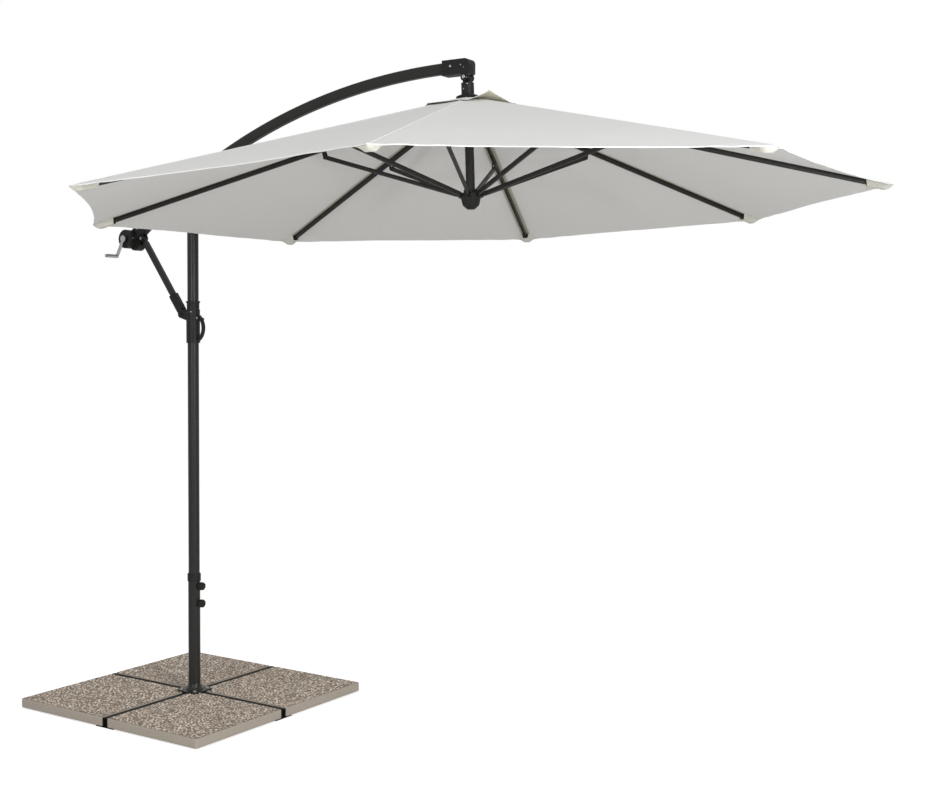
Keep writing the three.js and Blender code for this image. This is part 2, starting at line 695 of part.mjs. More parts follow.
// Elbow: socket for the arm, rounded corner, and the fork that carries the tilt bolt.
function elbow() {
  const shape = new THREE.Shape();
  const left = elbowStart;
  const right = kneeX + legRadius - 4;
  const corner = 20;
  const bottom = armCrestHeight - elbowDepth / 2;
  shape.moveTo(left, -bottom);
  shape.lineTo(left, -elbowTop);
  shape.lineTo(right - corner, -elbowTop);
  shape.absarc(right - corner, -(elbowTop - corner), corner, -Math.PI / 2, 0, false);
  shape.lineTo(right, -bottom);
  const body = plate(shape, -elbowWidth / 2, elbowWidth / 2).mirror([0, 0, 1]);
  const leg = rod('z', legRadius, kneeHeight + 6, armCrestHeight, kneeX, 0);
  const ears = [-1, 1].map((side) => {
    const inner = Math.min(side * (tongueHalf + turnGap), side * (tongueHalf + turnGap + 10));
    return lug(inner, inner + 10, kneeX, kneeHeight, kneeEyeRadius, kneeX, kneeHeight + 30);
  });
  const bosses = [-1, 1].map((side) => {
    const near = Math.min(side * 14, side * 24);
    return rod('y', kneeEyeRadius, near, near + 10, kneeX, kneeHeight, fineSteps);
  });
  const tongueSpace = rod('y', kneeEyeRadius + 5, -tongueHalf - turnGap, tongueHalf + turnGap,
    kneeX, kneeHeight, fineSteps);
  const tongueSides = block(kneeX - 40, kneeX + 40, -tongueHalf - turnGap, tongueHalf + turnGap,
    kneeHeight - 30, kneeHeight + 8);
  const boltHole = rod('y', tiltBoltRadius + gap, -60, 60, kneeX, kneeHeight, boltSteps);
  const pulleySpace = rod('y', pulleyRadius + 3, -pulleyWidth / 2 - turnGap,
    pulleyWidth / 2 + turnGap, pulleyX, pulleyHeight, fineSteps);
  const axleHole = rod('y', 2.5 + gap, -elbowWidth, elbowWidth, pulleyX, pulleyHeight, boltSteps);
  const cordDown = rod('z', cordRadius + 3.5, kneeHeight, pulleyHeight, kneeX + 10, 0, boltSteps);
  const cordAlong = rod('x', cordRadius + 3.5, armHighEndX - 4, pulleyX, 0,
    armCrestHeight + 8.5, boltSteps);
  return cut(join(body, leg, ...ears, ...bosses), armSpace(1200, armHighEndX + 1), tongueSpace,
    tongueSides, boltHole, pulleySpace, axleHole, cordDown, cordAlong);
}
add(parasol, 'elbow', elbow(), blackPlastic);

// Pulley that turns the lift cord from the arm down into the head.
function cordPulley() {
  const wheel = rod('y', pulleyRadius, -pulleyWidth / 2, pulleyWidth / 2, pulleyX, pulleyHeight);
  const axle = rod('y', 2.5, -elbowWidth / 2 + 1, elbowWidth / 2 - 1, pulleyX, pulleyHeight, boltSteps);
  const groove = new THREE.TorusGeometry(pulleyRadius + 1, cordRadius + 0.8, 6, roundSteps);
  groove.rotateX(Math.PI / 2);
  groove.translate(pulleyX, 0, pulleyHeight);
  return cut(join(wheel, axle), toSolid(groove));
}
add(parasol, 'cord_pulley', cordPulley(), zinc);

// The stretch of lift cord that lies in the arm, from the winch case to the elbow's pulley.
class LiftCord extends THREE.Curve {
  getPoint(t, target = new THREE.Vector3()) {
    const x0 = armLowEndX + 4;
    const x1 = armHighEndX - 2;
    const x = x0 + (x1 - x0) * t;
    const rise = armDepth / 2 - armWall - cordRadius - 5;
    const lift = -rise + 2 * rise * t ** 2;
    return target.set(x, 0, armHeightAt(x) + lift);
  }
}
function circle(radius) {
  const shape = new THREE.Shape();
  shape.absarc(0, 0, radius, 0, Math.PI * 2, false);
  return shape;
}
add(parasol, 'lift_cord', toSolid(new THREE.ExtrudeGeometry(circle(cordRadius), {
  steps: 30, curveSegments: 2, bevelEnabled: false, extrudePath: new LiftCord(),
})), cordFinish);

// ---------------------------------------------------------------- head and canopy

// The head is drawn with the tilt bolt at the origin and hangs straight down -Z.
const head = new THREE.Group();
head.position.set(kneeX, 0, kneeHeight);
head.rotation.y = -radians(canopyLean);
parasol.add(head);

const hingeLevel = -topHubDrop;
const hubTop = hingeLevel + 6.5;
const hubBottom = hingeLevel - 25;
const crownTop = -topHubDrop + 29;
const crownBottom = crownTop - crownThickness;
const spigotRadius = 15;
const spigotBottom = hingeLevel - 8;

// Head tube: tongue on the tilt bolt, tube, and a spigot down through crown and hub.
function headTube() {
  const tongue = lug(-tongueHalf, tongueHalf, 0, 0, kneeEyeRadius, 0, -24);
  const shoulder = -20;
  const barrel = rod('z', headTubeRadius, crownTop + gap, shoulder, 0, 0);
  const spigot = rod('z', spigotRadius, spigotBottom, crownTop + 2, 0, 0);
  const boltHole = rod('y', tiltBoltRadius + gap, -60, 60, 0, 0, boltSteps);
  const cordHole = rod('z', cordRadius + 1.5, spigotBottom - 1, 30, 9.5, 0, 12);
  return cut(join(tongue, barrel, spigot), boltHole, cordHole);
}
add(head, 'head_tube', headTube(), blackPlastic);
add(head, 'tilt_bolt', headedPin(tiltBoltRadius, 24 + gap, 7, 4, 0, 0), zinc);

// Crown: a flange that clamps the vent cap to the upper hub.
const crown = turned([
  [0, crownBottom], [crownRadius, crownBottom], [crownRadius, crownBottom + 4],
  [crownRadius - 8, crownBottom + 7.5], [headTubeRadius + 3, crownTop], [0, crownTop],
]).subtract(rod('z', spigotRadius + gap, -200, 0, 0, 0, fineSteps));
add(head, 'crown', crown, blackPlastic);

const slotWidth = tongueWidth + 2 * turnGap;
const coreRadius = 26;
const ribAngles = Array.from({ length: ribCount }, (_, index) =>
  firstRibAngle + (index * 360) / ribCount);

// The slots of a hub, one for each rib or strut.
const hubSlots = (z0, z1) => ribAngles.map((angle) =>
  block(coreRadius, hubRadius + 20, -slotWidth / 2, slotWidth / 2, z0, z1).rotate([0, 0, angle]));

const wireChannel = (height) => ring(hubPinRadius, hubWireRadius + gap, height);

function upperHub() {
  const disc = rod('z', hubRadius, hingeLevel - 7, hubTop, 0, 0, fineSteps);
  const core = rod('z', coreRadius, hubBottom, hubTop, 0, 0);
  const spigotBore = rod('z', spigotRadius + gap, spigotBottom - gap, 0, 0, 0, fineSteps);
  const mastBore = rod('z', mastRadius + 0.8, -200, hingeLevel - 12, 0, 0, fineSteps);
  const cordHole = rod('z', spigotRadius - 3, hubBottom - 1, hubTop + 1, 0, 0);
  return cut(join(disc, core), spigotBore, mastBore, cordHole, ...hubSlots(-200, 0),
    wireChannel(hingeLevel));
}
add(head, 'upper_hub', upperHub(), blackPlastic);
add(head, 'upper_hub_wire', ring(hubPinRadius, hubWireRadius, hingeLevel), zinc);

// The folding frame: rib and strut have the same reach, so the lower hub stays on the axis.
const lineAngle = Math.asin(hubSpacing / 2 / strutReach);
const cornerDrop = kneeHeight - rimHeight;
const ribEndRadius = canopyRadius - ribEndMargin;
const coverOffset = ribDepth / 2 + gap;
const ribEndDrop = cornerDrop + coverOffset - ribEndMargin * 0.27;
const ribSlope = Math.atan2(ribEndDrop - topHubDrop, ribEndRadius - hubPinRadius);
const ribLength = Math.hypot(ribEndDrop - topHubDrop, ribEndRadius - hubPinRadius);
const bracketAngle = lineAngle - ribSlope;
const bracketX = strutReach * Math.cos(bracketAngle);
const bracketZ = -strutReach * Math.sin(bracketAngle);
const tubeStart = 14;
const plugLength = 34;             // hinge tongue's stem inside a rib or strut
const plugBite = 0.2;              // a crimped stem bites this far into the tube's wall
const tubeCorner = 1.6;

// A rib, drawn along X from its hub hinge, with the bracket and rivet of its strut.
function rib() {
  const profile = tube(tubeStart, ribLength, ribWidth, ribDepth, tubeCorner, ribWall);
  const boreWidth = ribWidth - 2 * ribWall + plugBite;
  const boreDepth = ribDepth - 2 * ribWall + plugBite;
  const plug = squareBar(tubeStart - 2, tubeStart + plugLength, boreWidth, boreDepth);
  const tongue = lug(-tongueWidth / 2, tongueWidth / 2, 0, 0, 6.5, tubeStart + 10, 0, 2);
  const endCap = bar(ribLength - 3, ribLength + 5, ribWidth + 1, ribDepth + 1, 2);
  const endPlug = squareBar(ribLength - 22, ribLength, boreWidth, boreDepth);
  const wireHole = rod('y', hubWireRadius + 0.9, -20, 20, 0, 0, 8);
  const earGap = strutWidth / 2 + turnGap;
  const ears = [-1, 1].map((side) => {
    const inner = Math.min(side * earGap, side * (earGap + 2));
    return lug(inner, inner + 2, bracketX, bracketZ, 7.5, bracketX, 3, 2);
  });
  const bridge = block(bracketX - 7.5, bracketX + 7.5, -earGap - 2, earGap + 2, -ribDepth / 2 - 1.6,
    -ribDepth / 2 + 0.6);
  const rivet = rod('y', rivetRadius, -earGap - 3.2, earGap + 3.2, bracketX, bracketZ, 8);
  const lips = [[tubeStart + 40, bracketX - 14], [bracketX + 14, ribLength - 28]].map(([x0, x1]) =>
    block(x0, x1, -ribSlot / 2, ribSlot / 2, -ribDepth, 0));
  return cut(join(profile, plug, tongue, endCap, endPlug, ...ears, bridge, rivet), wireHole,
    ...lips);
}

// A strut, drawn along X from its hinge on the rib to its hinge on the lower hub.
function strut() {
  const profile = tube(-8, strutReach - tubeStart, strutWidth, strutDepth, tubeCorner, strutWall);
  const plug = squareBar(strutReach - tubeStart - plugLength, strutReach - tubeStart + 2,
    strutWidth - 2 * strutWall + plugBite, strutDepth - 2 * strutWall + plugBite);
  const tongue = lug(-tongueWidth / 2, tongueWidth / 2, strutReach, 0, 6.5,
    strutReach - tubeStart - 10, 0, 2);
  const rivetHole = rod('y', rivetRadius + 0.5, -20, 20, 0, 0, 8);
  const wireHole = rod('y', hubWireRadius + 0.9, -20, 20, strutReach, 0, 8);
  return cut(join(profile, plug, tongue), rivetHole, wireHole);
}

const ribSolid = rib();
const strutSolid = strut();
ribAngles.forEach((angle, index) => {
  const spoke = new THREE.Group();
  spoke.rotation.z = radians(angle);
  head.add(spoke);

  const ribFrame = new THREE.Group();
  ribFrame.position.set(hubPinRadius, 0, hingeLevel);
  ribFrame.rotation.y = ribSlope;
  spoke.add(ribFrame);
  add(ribFrame, `rib_${index + 1}`, ribSolid, anthracite);

  const strutFrame = new THREE.Group();
  strutFrame.position.set(hubPinRadius + strutReach * Math.cos(lineAngle), 0,
    hingeLevel - strutReach * Math.sin(lineAngle));
  strutFrame.rotation.y = Math.PI - lineAngle;
  spoke.add(strutFrame);
  add(strutFrame, `strut_${index + 1}`, strutSolid, anthracite);
});

const runnerLevel = hingeLevel - hubSpacing;
const runnerTop = runnerLevel + 6.5;
const mastSeat = runnerLevel - 22;
const runnerBottom = runnerLevel - 52;

// Lower hub: the same slotted disc over a rounded cup that holds the mast's foot.
function lowerHub() {
  const disc = rod('z', hubRadius, runnerLevel - 9, runnerTop, 0, 0, fineSteps);
  const cup = turned([
    [0, runnerBottom], [14, runnerBottom], [31, runnerBottom + 15],
    [coreRadius + 12, runnerLevel - 8], [coreRadius, runnerLevel - 7],
    [coreRadius, runnerTop + 14], [0, runnerTop + 14],
  ]);
  const bore = rod('z', mastRadius + gap, mastSeat - gap, 0, 0, 0);
  const slots = ribAngles.map((angle) => block(coreRadius, hubRadius + 20, -slotWidth / 2,
    slotWidth / 2, runnerLevel - 7.5, 0).rotate([0, 0, angle]));
  return cut(join(disc, cup), bore, ...slots, wireChannel(runnerLevel));
}
add(head, 'lower_hub', lowerHub(), blackPlastic);
add(head, 'lower_hub_wire', ring(hubPinRadius, hubWireRadius, runnerLevel), zinc);
add(head, 'mast', pipe('z', mastRadius, mastRadius - mastWall, mastSeat, hingeLevel - 12 - gap,
  0, 0), anthracite);

// ---------------------------------------------------------------- cloth

// Height of the ribs' upper side at a distance from the hub axis, plus an offset.
const coverHeight = (radius, offset) =>
  hingeLevel - (radius - hubPinRadius) * Math.tan(ribSlope) + offset / Math.cos(ribSlope);

// An eight-sided ring of cloth that drapes over the ribs, as a closed solid.
function clothRing(innerRadius, outerRadius, lower, upper) {
  const positions = [];
  const indices = [];
  for (const angle of ribAngles) {
    for (const [radius, height] of [
      [innerRadius, lower(innerRadius)], [outerRadius, lower(outerRadius)],
      [outerRadius, upper(outerRadius)], [innerRadius, upper(innerRadius)],
    ]) {
      positions.push(radius * Math.cos(radians(angle)), radius * Math.sin(radians(angle)), height);
    }
  }
  for (let index = 0; index < ribCount; index += 1) {
    const here = index * 4;
    const next = ((index + 1) % ribCount) * 4;
    for (let side = 0; side < 4; side += 1) {
      const a = here + side;
      const b = here + ((side + 1) % 4);
      const c = next + ((side + 1) % 4);
      const d = next + side;
      indices.push(a, c, b, a, d, c);
    }
  }
  const geometry = new THREE.BufferGeometry();
  geometry.setAttribute('position', new THREE.Float32BufferAttribute(positions, 3));
  geometry.setIndex(indices);
  return toSolid(geometry);
}

const clothRidge = 1;              // the cloth falls away to both sides of a rib's middle
const clothLower = (radius) => coverHeight(radius, ribDepth / 2 + gap + clothRidge);
const clothUpper = (radius) => clothLower(radius) + fabricThickness;
add(head, 'canopy', clothRing(ventRadius, canopyRadius, clothLower, clothUpper), clothFinish);

const ventInner = spigotRadius + 6;
const ventStart = crownBottom - gap;
const ventEnd = clothUpper(ventCapRadius) + 6;
const ventHeight = (radius) =>
  ventStart + ((ventEnd - ventStart) * (radius - ventInner)) / (ventCapRadius - ventInner);
add(head, 'vent_cap', clothRing(ventInner, ventCapRadius, (radius) => ventHeight(radius) - 2,
  ventHeight), clothFinish);

export default parasol;
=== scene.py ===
# %% [markdown]
# # A cantilever parasol around its frame
#
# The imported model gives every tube, pin and hinge in its place, in metres, +Z up. This script keeps
# that frame fixed and makes what a plain solid can't show: sewn cloth, pebbled slabs, coated and
# moulded surfaces with soft edges. It starts with the frame, the camera and the light, then makes a
# few tools, then the finishes, and then one piece after another from the ground up.

# %% Load the frame
import json
import math

import bmesh
import bpy
import numpy as np
from mathutils import Matrix, Vector, noise
from mathutils.bvhtree import BVHTree


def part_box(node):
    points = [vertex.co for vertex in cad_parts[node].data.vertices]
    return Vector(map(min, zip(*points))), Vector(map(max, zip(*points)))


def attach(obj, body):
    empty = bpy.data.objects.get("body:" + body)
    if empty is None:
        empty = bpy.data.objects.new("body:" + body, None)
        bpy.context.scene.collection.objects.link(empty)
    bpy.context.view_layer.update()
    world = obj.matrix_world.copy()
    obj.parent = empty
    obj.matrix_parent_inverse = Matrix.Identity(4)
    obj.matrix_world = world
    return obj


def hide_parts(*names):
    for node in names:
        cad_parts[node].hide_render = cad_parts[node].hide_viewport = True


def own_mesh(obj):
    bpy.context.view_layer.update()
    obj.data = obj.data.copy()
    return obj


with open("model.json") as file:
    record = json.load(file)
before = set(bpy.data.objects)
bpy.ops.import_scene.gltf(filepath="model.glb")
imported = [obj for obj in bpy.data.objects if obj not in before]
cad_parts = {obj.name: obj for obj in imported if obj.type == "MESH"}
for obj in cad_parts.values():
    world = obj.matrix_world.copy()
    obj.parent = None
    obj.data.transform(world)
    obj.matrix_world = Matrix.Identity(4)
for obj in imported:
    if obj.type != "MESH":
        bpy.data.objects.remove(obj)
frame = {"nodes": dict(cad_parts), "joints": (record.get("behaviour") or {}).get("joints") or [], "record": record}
nodes = frame["nodes"]
joints = {joint["name"]: joint for joint in frame["joints"]}
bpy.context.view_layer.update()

# %% [markdown]
# ## Camera
#
# The camera stands about 6 m from the pole, at eye height, with a lens a little longer than normal.
# A camera's local axes are right, up and backwards, so its turn is written straight as those three
# directions instead of as three angles that depend on their order.

# %% Camera
FRAME_WIDTH_PX = 934
FOCAL_PX = 1348.6
SENSOR = 36.0
camera_place = Vector((4.144, -4.205, 1.615))
camera_yaw = math.radians(-33.10)
camera_pitch = math.radians(-3.01)
camera_roll = math.radians(0.38)

forward = Vector((math.sin(camera_yaw) * math.cos(camera_pitch),
                  math.cos(camera_yaw) * math.cos(camera_pitch),
                  math.sin(camera_pitch)))
level_right = Vector((math.cos(camera_yaw), -math.sin(camera_yaw), 0))
level_up = level_right.cross(forward)
camera_right = level_right * math.cos(camera_roll) + level_up * math.sin(camera_roll)
camera_up = camera_right.cross(forward)

camera_data = bpy.data.cameras.new("camera")
camera_data.sensor_width = SENSOR
camera_data.lens = FOCAL_PX * SENSOR / FRAME_WIDTH_PX
camera = bpy.data.objects.new("camera", camera_data)
bpy.context.scene.collection.objects.link(camera)
turn = Matrix((camera_right, camera_up, -forward)).transposed().to_4x4()
camera.matrix_world = Matrix.Translation(camera_place) @ turn
bpy.context.scene.camera = camera
print("lens:", round(camera_data.lens, 2), "mm")

# %% [markdown]
# ## Light and floor
#
# The object stands in a white studio. The world lights it evenly, a large key light from the right
# tells the canopy's panels apart, and two narrow strips stand beside the pole. World and floor look
# whiter to the camera than they light, which keeps the background clean.

# %% World, lights and floor
WORLD_LIGHT = 0.62
scene = bpy.context.scene
scene.view_settings.view_transform = "Standard"
world = bpy.data.worlds.new("studio")
world.use_nodes = True
background = world.node_tree.nodes["Background"]
background.inputs["Color"].default_value = (1, 1, 1, 1)
sight = world.node_tree.nodes.new("ShaderNodeLightPath")
strength = world.node_tree.nodes.new("ShaderNodeMapRange")
strength.inputs["To Min"].default_value = WORLD_LIGHT
strength.inputs["To Max"].default_value = 1.0
world.node_tree.links.new(sight.outputs["Is Camera Ray"], strength.inputs["Value"])
world.node_tree.links.new(strength.outputs["Result"], background.inputs["Strength"])
scene.world = world


def soft_light(name, place, target, width, height, watts):
    """A rectangular light at a place, turned towards a target."""
    data = bpy.data.lights.new(name, "AREA")
    data.shape = "RECTANGLE"
    data.size = width
    data.size_y = height
    data.energy = watts
    light = bpy.data.objects.new(name, data)
    scene.collection.objects.link(light)
    light.location = place
    light.visible_camera = False
    aim = Vector(target) - Vector(place)
    light.rotation_euler = aim.to_track_quat("-Z", "Y").to_euler()
    return light


soft_light("key_light", (7.6, -2.6, 3.2), (1.2, 0, 2.2), 2.4, 1.8, 205)
soft_light("top_light", (0.5, 1.0, 6.5), (1.2, 0, 2.2), 4.0, 4.0, 8)
soft_light("left_strip", (1.15, -3.8, 1.80), (0, 0, 1.8), 0.20, 0.45, 30)
soft_light("right_strip", (3.7, -1.5, 1.80), (0, 0, 1.8), 0.20, 0.45, 24)

FLOOR_RADIUS = 60
FLOOR_GLOW = 0.50                 # seen by the camera only
floor_mesh = bpy.data.meshes.new("floor")
floor_maker = bmesh.new()
bmesh.ops.create_circle(floor_maker, cap_ends=True, segments=96, radius=FLOOR_RADIUS)
floor_maker.to_mesh(floor_mesh)
floor_maker.free()
floor = bpy.data.objects.new("floor", floor_mesh)
scene.collection.objects.link(floor)

# %% [markdown]
# ## Tools for meshes
#
# Most pieces below are of three kinds. A **refined** piece is a copy of a frame node whose loose
# triangles are welded, whose flat stretches become single faces and whose edges get a small bevel.
# A **turned** piece is a profile spun about a straight axis. A **shell** is a sheet with two faces
# and a rim, given by two grids of points, and all the cloth is made that way.

# %% Mesh tools
def to_object(name, maker, material, smooth_angle=35):
    """Turns a bmesh into a linked object, shaded smooth except over sharp edges."""
    mesh = bpy.data.meshes.new(name)
    maker.to_mesh(mesh)
    maker.free()
    mesh.materials.append(material)
    piece = bpy.data.objects.new(name, mesh)
    scene.collection.objects.link(piece)
    mesh.shade_smooth()
    mesh.set_sharp_from_angle(angle=math.radians(smooth_angle))
    return piece


def evaluated(piece):
    """Applies a piece's modifiers, so that what is left is a plain mesh."""
    graph = bpy.context.evaluated_depsgraph_get()
    mesh = bpy.data.meshes.new_from_object(piece.evaluated_get(graph), depsgraph=graph)
    piece.modifiers.clear()
    piece.data = mesh
    return piece


def welded_copy(node):
    """A bmesh of a frame node with its corners merged and its flat stretches made single faces."""
    maker = bmesh.new()
    maker.from_mesh(nodes[node].data)
    bmesh.ops.remove_doubles(maker, verts=maker.verts, dist=1e-6)
    bmesh.ops.dissolve_limit(maker, angle_limit=math.radians(1.0), verts=maker.verts,
                             edges=maker.edges)
    return maker


def refined(node, material, bevel, segments=2):
    """A frame node again, with bevelled edges, that stands for the node."""
    piece = to_object(f"{node}_fine", welded_copy(node), material)
    rounding = piece.modifiers.new("edges", "BEVEL")
    rounding.width = bevel
    rounding.segments = segments
    rounding.limit_method = "ANGLE"
    rounding.angle_limit = math.radians(34)
    rounding.harden_normals = True
    evaluated(piece)
    carry(piece, body_of[node], node)
    return piece


def carry(piece, body, *replaced):
    """A piece rides on a body and stands for frame nodes."""
    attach(piece, body)
    if replaced:
        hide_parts(*replaced)
    return piece


behaviour = frame["record"]["behaviour"]
body_of = {node: body for body, group in behaviour["bodies"].items() for node in group}


def turned(name, profile, foot, axis, material, steps=64):
    """A profile of (radius, height) pairs spun about an axis that starts at foot."""
    maker = bmesh.new()
    points = [maker.verts.new((radius, 0, height)) for radius, height in profile]
    edges = [maker.edges.new(pair) for pair in zip(points, points[1:])]
    bmesh.ops.spin(maker, geom=points + edges, axis=(0, 0, 1), cent=(0, 0, 0),
                   angle=2 * math.pi, steps=steps, use_duplicate=False)
    bmesh.ops.remove_doubles(maker, verts=maker.verts, dist=1e-6)
    bmesh.ops.recalc_face_normals(maker, faces=maker.faces)
    aim = Vector(axis).to_track_quat("Z", "Y").to_matrix().to_4x4()
    bmesh.ops.transform(maker, matrix=Matrix.Translation(Vector(foot)) @ aim, verts=maker.verts)
    return to_object(name, maker, material)


def shell(name, top, bottom, along, across, material, under=None, closed=False):
    """A closed sheet between two grids of points, with a UV map in metres.

    top and bottom hold rows of points, along and across the UV of each of them. A closed one joins
    the ends of its rows, as a ring does.
    """
    rows, columns = len(top), len(top[0])
    maker = bmesh.new()
    upper = [[maker.verts.new(point) for point in row] for row in top]
    lower = [[maker.verts.new(point) for point in row] for row in bottom]
    place = {}
    for i in range(rows):
        for j in range(columns):
            place[upper[i][j]] = place[lower[i][j]] = (across[i][j], along[i][j])
    for i in range(rows - 1):
        for j in range(columns if closed else columns - 1):
            far = (j + 1) % columns
            maker.faces.new((upper[i][j], upper[i][far], upper[i + 1][far], upper[i + 1][j]))
            face = maker.faces.new((lower[i][j], lower[i + 1][j], lower[i + 1][far],
                                    lower[i][far]))
            face.material_index = 1 if under else 0
    if closed:
        rims = [[(i, j) for j in range(columns)] for i in (0, rows - 1)]
    else:
        rim = [(i, 0) for i in range(rows)] + [(rows - 1, j) for j in range(1, columns)]
        rim += [(i, columns - 1) for i in range(rows - 2, -1, -1)]
        rim += [(0, j) for j in range(columns - 2, 0, -1)]
        rims = [rim]
    for rim in rims:
        for (i, j), (m, n) in zip(rim, rim[1:] + rim[:1]):
            maker.faces.new((upper[i][j], upper[m][n], lower[m][n], lower[i][j]))
    bmesh.ops.recalc_face_normals(maker, faces=maker.faces)
    layer = maker.loops.layers.uv.new("cloth")
    for face in maker.faces:
        for loop in face.loops:
            loop[layer].uv = place[loop.vert]
    piece = to_object(name, maker, material, smooth_angle=50)
    if under:
        piece.data.materials.append(under)
    return piece


print("tools ready")

# %% [markdown]
# ## Shared surface effects
#
# Three things happen on many finishes here: a fine grain in the surface, a little dust on what
# faces up, and the weave of the cloth. Each is one node group with named inputs. The groups give
# only values and normals that change over the surface; the shader itself stays in each material.

# %% Node helpers
def new_group(name, inputs, outputs):
    """A shader node group with float inputs {name: default} and outputs {name: socket type}."""
    group = bpy.data.node_groups.new(name, "ShaderNodeTree")
    for label, value in inputs.items():
        socket = group.interface.new_socket(name=label, in_out="INPUT",
                                            socket_type="NodeSocketFloat")
        socket.default_value = value
    for label, kind in outputs.items():
        group.interface.new_socket(name=label, in_out="OUTPUT", socket_type=kind)
    return group, group.nodes.new("NodeGroupInput"), group.nodes.new("NodeGroupOutput")


def math_node(tree, operation, first, second):
    """A Math node whose two inputs are sockets or numbers."""
    node = tree.nodes.new("ShaderNodeMath")
    node.operation = operation
    for index, value in enumerate((first, second)):
        if isinstance(value, (int, float)):
            node.inputs[index].default_value = value
        else:
            tree.links.new(value, node.inputs[index])
    return node.outputs[0]


def noise_node(tree, coordinates, scale, detail=2.0):
    """A Noise texture on some coordinates; scale is a number or a socket."""
    node = tree.nodes.new("ShaderNodeTexNoise")
    node.inputs["Detail"].default_value = detail
    if isinstance(scale, (int, float)):
        node.inputs["Scale"].default_value = scale
    else:
        tree.links.new(scale, node.inputs["Scale"])
    tree.links.new(coordinates, node.inputs["Vector"])
    return node.outputs["Fac"]


# %% Grain: fine bumps and uneven gloss
grain_group, given, result = new_group(
    "surface grain", {"Scale": 900.0, "Depth": 0.3, "Roughness": 0.45, "Unevenness": 0.1},
    {"Normal": "NodeSocketVector", "Roughness": "NodeSocketFloat"})
where = grain_group.nodes.new("ShaderNodeTexCoord").outputs["Object"]
fine = noise_node(grain_group, where, given.outputs["Scale"])
bump = grain_group.nodes.new("ShaderNodeBump")
bump.inputs["Distance"].default_value = 0.0006
grain_group.links.new(given.outputs["Depth"], bump.inputs["Strength"])
grain_group.links.new(fine, bump.inputs["Height"])
broad = noise_node(grain_group, where, 14.0, detail=5.0)
swing = math_node(grain_group, "MULTIPLY", math_node(grain_group, "SUBTRACT", broad, 0.5),
                  given.outputs["Unevenness"])
grain_group.links.new(math_node(grain_group, "ADD", swing, given.outputs["Roughness"]),
                      result.inputs["Roughness"])
grain_group.links.new(bump.outputs["Normal"], result.inputs["Normal"])

# %% Dust: a mask that grows where a surface faces up
dust_group, given, result = new_group(
    "settled dust", {"Amount": 0.3}, {"Mask": "NodeSocketFloat"})
facing = dust_group.nodes.new("ShaderNodeSeparateXYZ")
dust_group.links.new(dust_group.nodes.new("ShaderNodeNewGeometry").outputs["Normal"],
                     facing.inputs[0])
upward = math_node(dust_group, "MAXIMUM", facing.outputs["Z"], 0.0)
where = dust_group.nodes.new("ShaderNodeTexCoord").outputs["Object"]
patchy = noise_node(dust_group, where, 35.0, detail=6.0)
mask = math_node(dust_group, "MULTIPLY", math_node(dust_group, "MULTIPLY", upward, patchy),
                 given.outputs["Amount"])
dust_group.links.new(mask, result.inputs["Mask"])

# %% Weave: threads along and across the cloth, from its UV map in metres
weave_group, given, result = new_group(
    "plain weave", {"Thread spacing": 0.0007}, {"Height": "NodeSocketFloat",
                                                "Mottle": "NodeSocketFloat"})
uv = weave_group.nodes.new("ShaderNodeUVMap")
uv.uv_map = "cloth"
split = weave_group.nodes.new("ShaderNodeSeparateXYZ")
weave_group.links.new(uv.outputs["UV"], split.inputs[0])
threads = []
for axis in ("X", "Y"):
    turns = math_node(weave_group, "DIVIDE", split.outputs[axis], given.outputs["Thread spacing"])
    threads.append(math_node(weave_group, "SINE",
                             math_node(weave_group, "MULTIPLY", turns, math.pi), 0.0))
height = math_node(weave_group, "MULTIPLY", threads[0], threads[1])
weave_group.links.new(height, result.inputs["Height"])
slub = noise_node(weave_group, uv.outputs["UV"], 60.0, detail=4.0)
weave_group.links.new(slub, result.inputs["Mottle"])
print("groups:", [group.name for group in bpy.data.node_groups])

# %% [markdown]
# ## Finishes
#
# A coated tube is dark and slightly warm, with an orange-peel grain from the powder. Moulded nylon
# is blacker and flatter. Screws, crank and washers are bare zinc. The cloth is off-white polyester,
# and its inner face is seen in its own shade, so it gets its own, greyer finish.

# %% Finish helpers
def new_finish(name, roughness=0.5, metallic=0.0, specular=0.5, sheen=0.0):
    """A material with plain values set on its Principled shader. Returns it with its tree."""
    material = bpy.data.materials.new(name)
    material.use_nodes = True
    shader = material.node_tree.nodes["Principled BSDF"]
    shader.inputs["Roughness"].default_value = roughness
    shader.inputs["Metallic"].default_value = metallic
    shader.inputs["Specular IOR Level"].default_value = specular
    shader.inputs["Sheen Weight"].default_value = sheen
    return material, material.node_tree, shader


def use_group(tree, group, **values):
    """Places a node group in a tree; values name its inputs with _ for a space."""
    node = tree.nodes.new("ShaderNodeGroup")
    node.node_tree = group
    for label, value in values.items():
        node.inputs[label.replace("_", " ")].default_value = value
    return node


def blend_colours(tree, factor, first, second):
    """A mix of two colours, each a socket or an (r, g, b)."""
    node = tree.nodes.new("ShaderNodeMix")
    node.data_type = "RGBA"
    tree.links.new(factor, node.inputs["Factor"])
    for label, value in (("A", first), ("B", second)):
        socket = [s for s in node.inputs if s.name == label and s.type == "RGBA"][0]
        if isinstance(value, tuple):
            socket.default_value = (*value, 1)
        else:
            tree.links.new(value, socket)
    return [s for s in node.outputs if s.type == "RGBA"][0]


